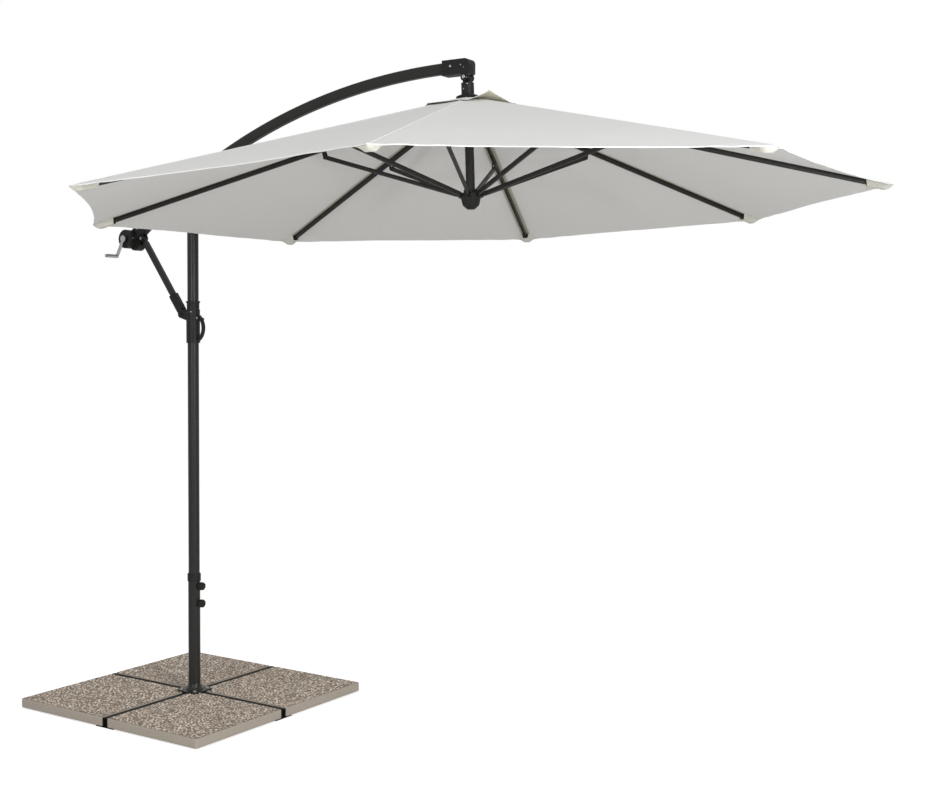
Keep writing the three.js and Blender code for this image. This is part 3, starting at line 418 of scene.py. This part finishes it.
def hard_finish(name, colour, worn_colour, dust_colour=(0.30, 0.28, 0.25), dust=0.10,
                grain_scale=900.0, grain_depth=0.25, roughness=0.45, unevenness=0.12, **plain):
    """A coated, moulded or bare hard surface: mottled colour, dust, grain and uneven gloss."""
    material, tree, shader = new_finish(name, roughness=roughness, **plain)
    where = tree.nodes.new("ShaderNodeTexCoord").outputs["Object"]
    mottle = noise_node(tree, where, 22.0, detail=6.0)
    base = blend_colours(tree, mottle, colour, worn_colour)
    settled = use_group(tree, dust_group, Amount=dust)
    tree.links.new(blend_colours(tree, settled.outputs["Mask"], base, dust_colour),
                   shader.inputs["Base Color"])
    grain = use_group(tree, grain_group, Scale=grain_scale, Depth=grain_depth,
                      Roughness=roughness, Unevenness=unevenness)
    tree.links.new(grain.outputs["Roughness"], shader.inputs["Roughness"])
    tree.links.new(grain.outputs["Normal"], shader.inputs["Normal"])
    return material


def cloth_finish(name, colour, shade, weave_depth=0.25, roughness=0.88):
    """A plain weave with a slow mottle in its colour."""
    material, tree, shader = new_finish(name, roughness=roughness, specular=0.25, sheen=0.12)
    weave = use_group(tree, weave_group, Thread_spacing=0.0007)
    tree.links.new(blend_colours(tree, weave.outputs["Mottle"], colour, shade),
                   shader.inputs["Base Color"])
    bump = tree.nodes.new("ShaderNodeBump")
    bump.inputs["Strength"].default_value = weave_depth
    bump.inputs["Distance"].default_value = 0.0003
    tree.links.new(weave.outputs["Height"], bump.inputs["Height"])
    tree.links.new(bump.outputs["Normal"], shader.inputs["Normal"])
    return material


# %% Metals and plastics
anthracite = hard_finish("anthracite powder coat", (0.017, 0.017, 0.015), (0.023, 0.022, 0.020),
                         dust=0.03, grain_scale=1400.0, grain_depth=0.12, roughness=0.33,
                         specular=0.26)
rib_coat = hard_finish("anthracite rib coat", (0.014, 0.013, 0.012), (0.021, 0.020, 0.018),
                       dust=0.03, grain_scale=1400.0, grain_depth=0.15, roughness=0.45,
                       specular=0.28)
black_coat = hard_finish("black steel coat", (0.008, 0.008, 0.008), (0.014, 0.013, 0.012),
                         dust=0.03, roughness=0.70, specular=0.12)
nylon = hard_finish("black moulded nylon", (0.006, 0.006, 0.006), (0.011, 0.011, 0.010),
                    dust=0.02, grain_scale=2200.0, grain_depth=0.35, roughness=0.48,
                    specular=0.28)
grey_nylon = hard_finish("grey winch nylon", (0.035, 0.035, 0.035), (0.050, 0.050, 0.048),
                         roughness=0.42)
zinc = hard_finish("bright zinc", (0.62, 0.62, 0.61), (0.48, 0.48, 0.47), metallic=1.0,
                   grain_scale=500.0, grain_depth=0.06, roughness=0.27, dust=0.05)
dull_zinc = hard_finish("weathered zinc", (0.50, 0.50, 0.49), (0.34, 0.34, 0.33), metallic=0.9,
                        grain_scale=300.0, grain_depth=0.12, roughness=0.42, dust=0.2)
braid = hard_finish("black braid", (0.02, 0.02, 0.02), (0.035, 0.035, 0.035),
                    grain_scale=1600.0, grain_depth=0.8, roughness=0.9)

# %% Cloth
cloth = cloth_finish("off-white polyester", (0.755, 0.755, 0.742), (0.712, 0.712, 0.698))
# The inner face is the same polyester; its greyer colour is painted shade, as it lies under the canopy.
cloth_inner_shade = cloth_finish("polyester inner face painted shade", (0.66, 0.652, 0.632), (0.61, 0.602, 0.582))
# The pockets hang under the canopy; their greyer, olive colour is painted shade.
pocket_cloth_shaded = cloth_finish("pocket cloth painted shade", (0.62, 0.61, 0.55), (0.52, 0.51, 0.44), 0.4)
# An olive cloth that paints shade: the strips beside the ribs and the vent cap's inner face.
olive_shade_cloth = cloth_finish("olive painted shade cloth", (0.47, 0.46, 0.36), (0.40, 0.39, 0.29), 0.4)

# %% Floor
floor_finish, tree, shader = new_finish("studio floor", roughness=0.75, specular=0.2)
faint = noise_node(tree, tree.nodes.new("ShaderNodeTexCoord").outputs["Object"], 0.8)
tree.links.new(blend_colours(tree, faint, (0.80, 0.80, 0.798), (0.785, 0.785, 0.782)),
               shader.inputs["Base Color"])
shader.inputs["Emission Color"].default_value = (1, 1, 1, 1)
seen = tree.nodes.new("ShaderNodeLightPath").outputs["Is Camera Ray"]
tree.links.new(math_node(tree, "MULTIPLY", seen, FLOOR_GLOW), shader.inputs["Emission Strength"])
floor.data.materials.append(floor_finish)

# %% [markdown]
# ### Exposed aggregate
#
# The slabs are cast concrete whose skin is washed off while it is green, so that the pebbles stand
# out. Their faces are pebbles of a few kinds of stone in a sandy matrix, and their edges stay
# smooth where the mould was. The matrix is darker than the edges, as painted shade in the gaps
# between pebbles. The pebbles are real geometry, and each carries a number called tone,
# from which its material picks a stone.

# %% Stone
SPECK_DARKNESS = 0.55
SPECK_SHARE = 0.22


def stone_finish(name, colours, grain_scale, grain_depth, source):
    """Stone whose colour comes from a ramp, read by a mask socket that source(tree) returns."""
    material, tree, shader = new_finish(name, roughness=0.85, specular=0.3)
    ramp = tree.nodes.new("ShaderNodeValToRGB")
    while len(ramp.color_ramp.elements) < len(colours):
        ramp.color_ramp.elements.new(0.5)
    for index, colour in enumerate(colours):
        element = ramp.color_ramp.elements[index]
        element.position = index / (len(colours) - 1)
        element.color = (*colour, 1)
    tree.links.new(source(tree), ramp.inputs["Fac"])
    speck = noise_node(tree, tree.nodes.new("ShaderNodeTexCoord").outputs["Object"], 420.0, 4.0)
    dark = tuple(SPECK_DARKNESS * value for value in colours[0])
    faded = math_node(tree, "MULTIPLY", speck, SPECK_SHARE)
    tree.links.new(blend_colours(tree, faded, ramp.outputs["Color"], dark),
                   shader.inputs["Base Color"])
    grain = use_group(tree, grain_group, Scale=grain_scale, Depth=grain_depth,
                      Roughness=0.85, Unevenness=0.2)
    tree.links.new(grain.outputs["Roughness"], shader.inputs["Roughness"])
    tree.links.new(grain.outputs["Normal"], shader.inputs["Normal"])
    return material


def tone_of_pebble(tree):
    tone = tree.nodes.new("ShaderNodeAttribute")
    tone.attribute_name = "tone"
    return tone.outputs["Fac"]


def mottle_of_matrix(tree):
    return noise_node(tree, tree.nodes.new("ShaderNodeTexCoord").outputs["Object"], 160.0, 6.0)


pebble_stone = stone_finish("washed pebbles", [
    (0.22, 0.16, 0.115), (0.86, 0.77, 0.64), (0.62, 0.49, 0.39), (0.95, 0.91, 0.83),
    (0.72, 0.58, 0.49), (0.12, 0.095, 0.075), (0.90, 0.83, 0.72)], 350.0, 0.5, tone_of_pebble)
# The matrix's own sandy colour, darkened as painted shade in the gaps between pebbles.
matrix_stone_gap_shade = stone_finish("sandy matrix", [
    (0.17, 0.135, 0.105), (0.36, 0.295, 0.235)], 260.0, 1.0, mottle_of_matrix)
edge_stone = stone_finish("cast slab edge", [
    (0.33, 0.285, 0.24), (0.44, 0.395, 0.34)], 180.0, 0.5, mottle_of_matrix)
print("materials:", len(bpy.data.materials))

# %% [markdown]
# ## The base
#
# Each slab is its frame node with worn edges. Its pebbles are scattered by a node tree over a sheet
# that lies just under the top face, so that each one is sunk a little past its middle. The tree has
# named inputs, a fixed seed for each slab, and ends as one plain mesh.

# %% Pebble scatter
def input_id(tree, label):
    """The identifier of a tree's named input."""
    return [item.identifier for item in tree.interface.items_tree if item.name == label][0]


def new_scatter(name, inputs):
    """An empty geometry tree with inputs {name: (socket type, default)}, geometry in and out."""
    tree = bpy.data.node_groups.new(name, "GeometryNodeTree")
    tree.interface.new_socket(name="Geometry", in_out="INPUT", socket_type="NodeSocketGeometry")
    for label, (kind, value) in inputs.items():
        socket = tree.interface.new_socket(name=label, in_out="INPUT", socket_type=kind)
        socket.default_value = value
    tree.interface.new_socket(name="Geometry", in_out="OUTPUT", socket_type="NodeSocketGeometry")
    return tree, tree.nodes.new("NodeGroupInput"), tree.nodes.new("NodeGroupOutput")


def random_value(tree, kind, low, high, seed):
    """A Random Value node with its two limits and a seed socket."""
    node = tree.nodes.new("FunctionNodeRandomValue")
    node.data_type = kind
    wanted = "VECTOR" if kind == "FLOAT_VECTOR" else "VALUE"
    limits = [s for s in node.inputs if s.enabled and s.type == wanted][:2]
    for socket, value in zip(limits, (low, high)):
        socket.default_value = value
    tree.links.new(seed, [s for s in node.inputs if s.name == "Seed"][0])
    return [s for s in node.outputs if s.enabled][0]


PEBBLE_SPACING = 0.0094
PEBBLE_RADIUS = 0.0056
LEAST_SCALE, MOST_SCALE = (0.7, 0.6, 0.26), (1.35, 1.15, 0.36)      # length, width, height
MOST_TURN = (0.3, 0.3, 6.28)
pebble_tree, given, result = new_scatter("pebble scatter", {
    "Spacing": ("NodeSocketFloat", PEBBLE_SPACING),
    "Pebble radius": ("NodeSocketFloat", PEBBLE_RADIUS), "Seed": ("NodeSocketInt", 0)})
points = pebble_tree.nodes.new("GeometryNodeDistributePointsOnFaces")
points.distribute_method = "POISSON"
points.inputs["Density Max"].default_value = 40000.0
pebble = pebble_tree.nodes.new("GeometryNodeMeshIcoSphere")
pebble.inputs["Subdivisions"].default_value = 1
placed = pebble_tree.nodes.new("GeometryNodeInstanceOnPoints")
tone = pebble_tree.nodes.new("GeometryNodeStoreNamedAttribute")
tone.data_type = "FLOAT"
tone.domain = "INSTANCE"
tone.inputs["Name"].default_value = "tone"
whole = pebble_tree.nodes.new("GeometryNodeRealizeInstances")
dressed = pebble_tree.nodes.new("GeometryNodeSetMaterial")
dressed.inputs["Material"].default_value = pebble_stone
wire = pebble_tree.links.new
wire(given.outputs["Geometry"], points.inputs["Mesh"])
wire(given.outputs["Spacing"], points.inputs["Distance Min"])
wire(given.outputs["Seed"], points.inputs["Seed"])
wire(given.outputs["Pebble radius"], pebble.inputs["Radius"])
wire(points.outputs["Points"], placed.inputs["Points"])
wire(pebble.outputs["Mesh"], placed.inputs["Instance"])
wire(random_value(pebble_tree, "FLOAT_VECTOR", LEAST_SCALE, MOST_SCALE,
                  given.outputs["Seed"]), placed.inputs["Scale"])
wire(random_value(pebble_tree, "FLOAT_VECTOR", (0, 0, 0), MOST_TURN,
                  given.outputs["Seed"]), placed.inputs["Rotation"])
wire(placed.outputs["Instances"], tone.inputs["Geometry"])
wire(random_value(pebble_tree, "FLOAT", 0.0, 1.0, given.outputs["Seed"]), tone.inputs["Value"])
wire(tone.outputs["Geometry"], whole.inputs["Geometry"])
wire(whole.outputs["Geometry"], dressed.inputs["Geometry"])
wire(dressed.outputs["Geometry"], result.inputs["Geometry"])


def grown(name, seed_object, tree, values):
    """The plain mesh that a geometry tree makes of an object, as a new object."""
    modifier = seed_object.modifiers.new("grow", "NODES")
    modifier.node_group = tree
    for label, value in values.items():
        modifier[input_id(tree, label)] = value
    graph = bpy.context.evaluated_depsgraph_get()
    mesh = bpy.data.meshes.new_from_object(seed_object.evaluated_get(graph),
                                           preserve_all_data_layers=True, depsgraph=graph)
    piece = bpy.data.objects.new(name, mesh)
    scene.collection.objects.link(piece)
    bpy.data.objects.remove(seed_object)
    return piece


# %% Slabs
SLAB_EDGE = 0.0045
EDGE_MARGIN = 0.0085
PEBBLE_SINK = 0.0003
FIRST_SEED = 11
for index in range(1, 5):
    node = f"slab_{index}"
    slab = refined(node, edge_stone, bevel=SLAB_EDGE, segments=4)
    slab.data.materials.append(matrix_stone_gap_shade)
    low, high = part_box(node)
    for face in slab.data.polygons:
        if face.normal.z > 0.9 and face.center.z > high[2] - 0.001:
            face.material_index = 1
    maker = bmesh.new()
    corners = [(low[0], low[1]), (high[0], low[1]), (high[0], high[1]), (low[0], high[1])]
    middle = ((low[0] + high[0]) / 2, (low[1] + high[1]) / 2)
    inset = [(x - math.copysign(EDGE_MARGIN, x - middle[0]),
              y - math.copysign(EDGE_MARGIN, y - middle[1])) for x, y in corners]
    maker.faces.new([maker.verts.new((x, y, high[2] - PEBBLE_SINK)) for x, y in inset])
    bed = to_object(f"bed_{index}", maker, pebble_stone)
    pebbles = grown(f"{node}_pebbles", bed, pebble_tree,
                    {"Spacing": PEBBLE_SPACING,
                     "Seed": FIRST_SEED + index})
    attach(pebbles, "base")
print("pebble triangles:", len(pebbles.data.polygons))

# %% [markdown]
# ## Hard parts
#
# Most of the frame keeps its own geometry, with bevelled edges and its own finish. The pole is
# turned again from its radius, because a long plain tube shows every facet. For the same reason the
# arm is drawn again along the circle that its upper edge lies on.

# %% Refined pieces
hard_parts = {
    black_coat: ["cross_bar_x", "cross_bar_y"],
    anthracite: ["base_sleeve", "brace_tube", "mast"],
    nylon: ["sleeve_collar", "clamp_knob_upper", "clamp_knob_lower", "pole_head", "arm_saddle",
            "crank_housing", "brace_top_end", "brace_foot_end", "slider", "elbow", "crown",
            "upper_hub", "lower_hub", "latch_lever", "head_tube"],
    grey_nylon: ["winch_drum"],
    dull_zinc: ["foot_bolt_1", "foot_bolt_2", "foot_bolt_3", "foot_bolt_4", "cord_pulley"],
    zinc: ["arm_pivot_pin", "brace_top_pin", "latch_pin", "tilt_bolt", "crank_handle",
           "crank_grip", "upper_hub_wire", "lower_hub_wire"],
    braid: ["lift_cord"],
}
small = {"upper_hub_wire", "lower_hub_wire", "lift_cord", "latch_pin"}
PART_EDGE = 0.0007
SMALL_EDGE = 0.0003
RIB_EDGE = 0.0005
for material, group in hard_parts.items():
    for node in group:
        refined(node, material, bevel=SMALL_EDGE if node in small else PART_EDGE)
for index in range(1, 9):
    for node in (f"rib_{index}", f"strut_{index}"):
        refined(node, rib_coat, bevel=RIB_EDGE)

# %% Pole and arm
pole_low, pole_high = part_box("pole")
pole_radius = pole_high[0]
POLE_WALL = 0.0018
pole = turned("pole_tube", [
    (pole_radius - POLE_WALL, pole_low[2]), (pole_radius, pole_low[2]),
    (pole_radius, pole_high[2]), (pole_radius - POLE_WALL, pole_high[2]),
    (pole_radius - POLE_WALL, pole_low[2])], (0, 0, 0), (0, 0, 1), anthracite, steps=96)
carry(pole, "column", "pole")


def fitted_circle(xs, zs):
    """Centre of the circle that fits points of a plane best."""
    matrix = np.column_stack((xs, zs, np.ones(len(xs))))
    a, b = np.linalg.lstsq(matrix, xs ** 2 + zs ** 2, rcond=None)[0][:2]
    return a / 2, b / 2


def upper_hull(points):
    """The points along the top of a set of (x, z) points, from left to right."""
    chain = []
    for point in sorted(points):
        while len(chain) > 1:
            (ax, az), (bx, bz) = chain[-2], chain[-1]
            if (bx - ax) * (point[1] - az) - (bz - az) * (point[0] - ax) < -1e-9:
                break
            chain.pop()
        chain.append(point)
    return np.array(chain)


arm_points = np.array([vertex.co for vertex in nodes["arm_tube"].data.vertices])
arm_x, arm_z = arm_points[:, 0], arm_points[:, 2]
crest = upper_hull([(round(float(x), 6), round(float(z), 6)) for x, z in zip(arm_x, arm_z)])
centre_x, centre_z = fitted_circle(crest[:, 0], crest[:, 1])
reach = np.hypot(arm_x - centre_x, arm_z - centre_z)
arm_middle = (reach.max() + reach.min()) / 2
half_depth = (reach.max() - reach.min()) / 2
half_width = arm_points[:, 1].max()
bearing = np.arctan2(arm_x - centre_x, arm_z - centre_z)
print("arm radius:", round(arm_middle, 3), "section:", round(2 * half_width, 4), "x",
      round(2 * half_depth, 4), "crest points:", len(crest))

ARM_CORNER = 0.007
ARM_WALL = 0.0016
ARM_STEPS = 96


def rounded_outline(half_x, half_y, radius, steps=6):
    """Points round a rectangle with rounded corners, counterclockwise."""
    outline = []
    for quarter, (sx, sy) in enumerate(((1, 1), (-1, 1), (-1, -1), (1, -1))):
        for step in range(steps + 1):
            angle = (quarter + step / steps) * math.pi / 2
            outline.append((sx * (half_x - radius) + radius * math.cos(angle),
                            sy * (half_y - radius) + radius * math.sin(angle)))
    return outline


maker = bmesh.new()
rings = []
for shrink in (0.0, ARM_WALL):
    outline = rounded_outline(half_width - shrink, half_depth - shrink, ARM_CORNER - shrink)
    rows = []
    for angle in np.linspace(bearing.min(), bearing.max(), ARM_STEPS + 1):
        rows.append([maker.verts.new((centre_x + (arm_middle + up) * math.sin(angle), across,
                                      centre_z + (arm_middle + up) * math.cos(angle)))
                     for across, up in outline])
    rings.append(rows)
sides = len(rings[0][0])
for rows in rings:
    for row, after in zip(rows, rows[1:]):
        for side in range(sides):
            far = (side + 1) % sides
            maker.faces.new((row[side], row[far], after[far], after[side]))
for end in (0, -1):
    for side in range(sides):
        far = (side + 1) % sides
        maker.faces.new((rings[0][end][side], rings[0][end][far], rings[1][end][far],
                         rings[1][end][side]))
bmesh.ops.recalc_face_normals(maker, faces=maker.faces)
carry(to_object("arm_curve", maker, anthracite), "arm", "arm_tube")

# %% [markdown]
# ## Screws and rivets
#
# Small domed heads sit where the frame's plastic parts are held together. Each is aimed at from
# the camera's place, so that it lands on the surface whatever its slope, and has a twin on the far
# side. The aims are in metres. A separate program worked most of them out, and three were adjusted
# by hand.

# %% Fastener heads
HEAD_SINK = 0.0004
DOME_RISE = 0.42                  # a head's height for its radius
# Radius and height from the rim to the recess, as shares of the head's own.
DOME_OUTLINE = [(1, 0.45), (0.8, 0.85), (0.5, 1), (0.34, 1), (0.3, 0.55), (0, 0.55)]


def on_face(node, aim):
    """Where the line from the camera to a point first meets a frame node, and its normal."""
    mesh = nodes[node].data
    tree = BVHTree.FromPolygons([vertex.co for vertex in mesh.vertices],
                                [tuple(face.vertices) for face in mesh.polygons])
    place, normal = tree.ray_cast(camera_place, (Vector(aim) - camera_place).normalized())[:2]
    return place, normal


def domed_head(name, body, place, normal, radius):
    """A round head with a rounded rim and a shallow recess, sunk a little in its surface."""
    height = radius * DOME_RISE
    dome = [(radius * out, height * up) for out, up in DOME_OUTLINE]
    piece = turned(name, [(0, -HEAD_SINK), (radius, -HEAD_SINK)] + dome, place, normal, zinc,
                   steps=20)
    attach(piece, body)
    return piece


fasteners = [
    ("elbow", "arm", (1.3331, -0.023, 2.5848), 0.0046),
    ("elbow", "arm", (1.3795, -0.023, 2.5856), 0.0027),
    ("elbow", "arm", (1.4065, -0.024, 2.5372), 0.0020),
    ("head_tube", "head", (1.4070, -0.021, 2.5150), 0.0020),
    ("head_tube", "head", (1.3940, -0.024, 2.4960), 0.0028),
    ("crank_housing", "arm", (-0.3153, -0.0213, 2.0434), 0.0030),
    ("crank_housing", "arm", (-0.3313, -0.0300, 2.0041), 0.0026),
    ("crank_housing", "arm", (-0.2909, -0.0213, 2.0012), 0.0026),
    ("slider", "slider", (0.0138, -0.0290, 1.6799), 0.0022),
]
for index, (node, body, aim, radius) in enumerate(fasteners, 1):
    place, normal = on_face(node, aim)
    print("fastener", index, node, [round(value, 4) for value in place],
          [round(value, 2) for value in normal])
    domed_head(f"{node}_screw_{index}", body, place, normal, radius)
    far_place = Vector((place.x, -place.y, place.z))
    domed_head(f"{node}_screw_{index}_far", body, far_place,
               Vector((normal.x, -normal.y, normal.z)), radius)

# %% [markdown]
# ## The canopy
#
# The frame gives the eight hinge points of the ribs. Their mean is the hub, their plane gives the
# canopy's own up, and each rib's direction is a spoke. The cloth is stretched from rib to rib: it
# sags a little between them, its hem curves in, and small folds run in towards the corners.
#
# The cloth is cut into eight pieces along the middles of the gores, so that each one can go down
# with its own rib as the canopy folds.

# %% Canopy geometry
rib_joint = {k: joints["canopy_fold" if k == 1 else f"rib_{k}_fold"] for k in range(1, 9)}
hinges = {k: Vector(joint["pos_m"]) for k, joint in rib_joint.items()}
hub = sum(hinges.values(), Vector()) / 8
canopy_up = (hinges[1] - hub).cross(hinges[3] - hub).normalized()
spokes = {k: (hinge - hub).normalized() for k, hinge in hinges.items()}
cloth_points = [vertex.co - hub for vertex in nodes["canopy"].data.vertices]
heights = [(point - canopy_up * point.dot(canopy_up)).length for point in cloth_points]
RIM = max(heights)
VENT = min(heights)
rim_top = max(p.dot(canopy_up) for p, r in zip(cloth_points, heights) if r > (RIM + VENT) / 2)
vent_top = max(p.dot(canopy_up) for p, r in zip(cloth_points, heights) if r < (RIM + VENT) / 2)
print("canopy:", round(RIM, 3), round(VENT, 3), "heights", round(rim_top, 4), round(vent_top, 4))


def neighbour(k, side):
    """The rib next to rib k, on side +1 or -1."""
    return (k - 1 + side) % 8 + 1


def ridge(k, rho):
    """The cloth's upper side over rib k at a distance from the hub axis."""
    share = (rho - VENT) / (RIM - VENT)
    return hub + spokes[k] * rho + canopy_up * (vent_top + (rim_top - vent_top) * share)


SAG = 0.009
HEM_CURVE = 0.021
FABRIC = 0.0015
LOOSE_RUN = 0.3                   # from the vent to where the cloth hangs fully loose
RIPPLES = ((3.1, 0.0035), (11.0, 0.0009))      # waves for each metre, and their height
FOLD_START = 0.86                 # share of the rim's radius where the corner folds begin
FOLD_HEIGHT = 0.0022
FOLD_WAVES, FOLD_SHIFT = 62.0, 1.3
FOLD_FADE, FOLD_ONSET = 9.0, 18
GORE_HALF = math.sin(math.pi / 8)  # half a gore's width for each metre from the hub


def cloth_point(k, side, rho, t):
    """A point of the cloth, t of the way from rib k to the next rib on that side (0 to 0.5)."""
    belly = 4 * t * (1 - t)
    drawn = rho * (1 - HEM_CURVE * belly * (rho / RIM) ** 4)
    point = ridge(k, drawn).lerp(ridge(neighbour(k, side), drawn), t)
    loose = belly * min(1.0, (rho - VENT) / LOOSE_RUN)
    ripple = sum(noise.noise(point * waves) * height for waves, height in RIPPLES)
    corner = max(0.0, (rho / RIM - FOLD_START) / (1 - FOLD_START))
    fold = math.sin(t * FOLD_WAVES + FOLD_SHIFT * k) * math.exp(-t * FOLD_FADE) * FOLD_HEIGHT
    fold = fold * corner * min(1.0, t * FOLD_ONSET)
    return point + canopy_up * (-SAG * loose * (rho / RIM) ** 0.5 + ripple * loose + fold)


# %% Seams and corner pockets
STRIP_HALF = 0.006
SHADE_STRIP_HALF = 0.022
POCKET_LENGTH = 0.085
POCKET_DROP = 0.0225
POCKET_HALF, POCKET_FLARE = 0.020, 0.036
POCKET_CREASE, CREASE_WAVES = 0.0007, 300
POCKET_GAP = 0.0002
POCKET_THICKNESS = 0.0014
RIB_HALF = 0.0095
END_MARGIN = 0.030
RIM_MARGIN = 0.002
SEAM_RISE, SEAM_SINK = 0.0009, 0.0004
SHADE_STRIP_THICKNESS = 0.0006


def near_rib(k, rho, x, lift):
    """A point of the cloth at a distance x beside rib k, lifted off its upper side."""
    t = min(0.5, abs(x) / (2 * rho * GORE_HALF))
    return cloth_point(k, 1 if x > 0 else -1, rho, t) + canopy_up * lift


def strip(name, k, half, start, stop, upper_lift, lower_lift, material, rows=60, columns=7):
    """A flat strip of cloth along rib k."""
    top, bottom, along, across = [], [], [], []
    for i in range(rows):
        rho = start + (stop - start) * i / (rows - 1)
        xs = [half * (2 * j / (columns - 1) - 1) for j in range(columns)]
        top.append([near_rib(k, rho, x, upper_lift) for x in xs])
        bottom.append([near_rib(k, rho, x, lower_lift) for x in xs])
        along.append([rho] * columns)
        across.append(xs)
    return shell(name, top, bottom, along, across, material)


def seam_strip(k):
    """The felled seam that runs down the cloth over a rib."""
    return strip(f"canopy_seam_{k}", k, STRIP_HALF, VENT + 0.002, RIM - 0.003, SEAM_RISE,
                 -SEAM_SINK, cloth)


def rib_shade_strip(k):
    """An olive strip under the seam beside the rib: painted shade along the rib."""
    return strip(f"canopy_rib_shade_{k}", k, SHADE_STRIP_HALF, VENT + 0.01, RIM - 0.05, -FABRIC,
                 -FABRIC - SHADE_STRIP_THICKNESS, olive_shade_cloth)


def corner_pocket(k):
    """The sewn pocket that holds a rib's end: a patch below the corner, slung under the rib."""
    rows, columns = 20, 25
    top, bottom, along, across = [], [], [], []
    for i in range(rows):
        share = i / (rows - 1)
        rho = RIM - POCKET_LENGTH + (POCKET_LENGTH - RIM_MARGIN) * share
        half = POCKET_HALF + POCKET_FLARE * share
        past_end = max(0.0, (rho - (RIM - END_MARGIN)) / END_MARGIN)
        depth = POCKET_DROP * (1 - past_end ** 1.5)
        upper_row, lower_row, xs = [], [], []
        for j in range(columns):
            x = half * (2 * j / (columns - 1) - 1)
            beside = max(0.0, (abs(x) - RIB_HALF) / (half - RIB_HALF))
            slung = depth * math.cos(min(1.0, beside) * math.pi / 2) ** 2
            crease = POCKET_CREASE * math.sin(x * CREASE_WAVES + k)
            crease = crease * (1 - share) * min(1.0, beside * 3)
            point = near_rib(k, rho, x, -FABRIC - POCKET_GAP - slung + crease)
            upper_row.append(point)
            lower_row.append(point - canopy_up * POCKET_THICKNESS)
            xs.append(x)
        top.append(upper_row)
        bottom.append(lower_row)
        along.append([rho] * columns)
        across.append(xs)
    return shell(f"canopy_pocket_{k}", top, bottom, along, across, pocket_cloth_shaded)


# %% Gores
HEM_WIDTH = 0.022
HEM_LAYERS = 1.9                  # the hem's thickness for the cloth's
ROWS, COLUMNS = 52, 49
for k in range(1, 9):
    top, bottom, along, across = [], [], [], []
    for i in range(ROWS):
        rho = VENT + (RIM - VENT) * i / (ROWS - 1)
        half_span = rho * GORE_HALF
        upper_row, lower_row = [], []
        for j in range(COLUMNS):
            shift = j / (COLUMNS - 1) - 0.5
            side = 1 if shift > 0 else -1
            point = cloth_point(k, side, rho, abs(shift))
            thickness = FABRIC * (HEM_LAYERS if rho > RIM - HEM_WIDTH else 1.0)
            upper_row.append(point)
            lower_row.append(point - canopy_up * thickness)
        top.append(upper_row)
        bottom.append(lower_row)
        along.append([rho] * COLUMNS)
        across.append([2 * half_span * (j / (COLUMNS - 1) - 0.5) for j in range(COLUMNS)])
    gore = shell(f"canopy_gore_{k}", top, bottom, along, across, cloth, cloth_inner_shade)
    carry(gore, f"rib_{k}", "canopy")
    trimmings = [seam_strip(k), rib_shade_strip(k), corner_pocket(k)]
    for item in trimmings:
        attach(item, f"rib_{k}")
    for item in [gore] + trimmings:
        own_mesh(item)

# %% Vent cap
CAP_SPLIT = 0.1                   # between the cap's inner and its outer ring
cap_points = [vertex.co - hub for vertex in nodes["vent_cap"].data.vertices]
cap_reach = [(p - canopy_up * p.dot(canopy_up)).length for p in cap_points]
cap_inner, cap_outer = min(cap_reach), max(cap_reach)
cap_in_top = max(p.dot(canopy_up) for p, r in zip(cap_points, cap_reach) if r < CAP_SPLIT)
cap_out_top = max(p.dot(canopy_up) for p, r in zip(cap_points, cap_reach) if r > CAP_SPLIT)
# How far each raised corner stands up and is drawn in, and from which share of the way it starts.
CAP_LIFT = {8: (0.042, 0.040), 6: (0.004, 0.0), 5: (0.005, 0.0), 1: (0.006, 0.0)}
LIFT_START = 0.25
CAP_ROWS, CAP_STEPS = 20, 12


def cap_point(k, t, share, lift=0.0):
    """A point of the vent cap, t of the way from rib k to the next, share of the way outwards."""
    rho = cap_inner + (cap_outer - cap_inner) * share
    level = cap_in_top + (cap_out_top - cap_in_top) * share + lift
    here, there = spokes[k], spokes[neighbour(k, 1)]
    rise = pull = 0.0
    for corner, weight in ((k, 1 - t), (neighbour(k, 1), t)):
        high, inward = CAP_LIFT.get(corner, (0.0, 0.0))
        strength = max(0.0, weight - LIFT_START) / (1 - LIFT_START) * share ** 3
        rise += high * strength
        pull += inward * strength
    return hub + here.lerp(there, t) * (rho - pull) + canopy_up * (level + rise)


top, bottom, along, across = [], [], [], []
for i in range(CAP_ROWS + 1):
    share = i / CAP_ROWS
    upper_row, lower_row = [], []
    for k in range(1, 9):
        for step in range(CAP_STEPS):
            upper_row.append(cap_point(k, step / CAP_STEPS, share))
            lower_row.append(cap_point(k, step / CAP_STEPS, share, -FABRIC))
    top.append(upper_row)
    bottom.append(lower_row)
    along.append([cap_inner + (cap_outer - cap_inner) * share] * len(upper_row))
    across.append([cap_outer * 2 * math.pi * j / len(upper_row) for j in range(len(upper_row))])
# The cap's inner face takes the olive cloth, which paints the shade under it.
vent_cap = shell("vent_cap_cloth", top, bottom, along, across, cloth, olive_shade_cloth, closed=True)
carry(vent_cap, "head", "vent_cap")
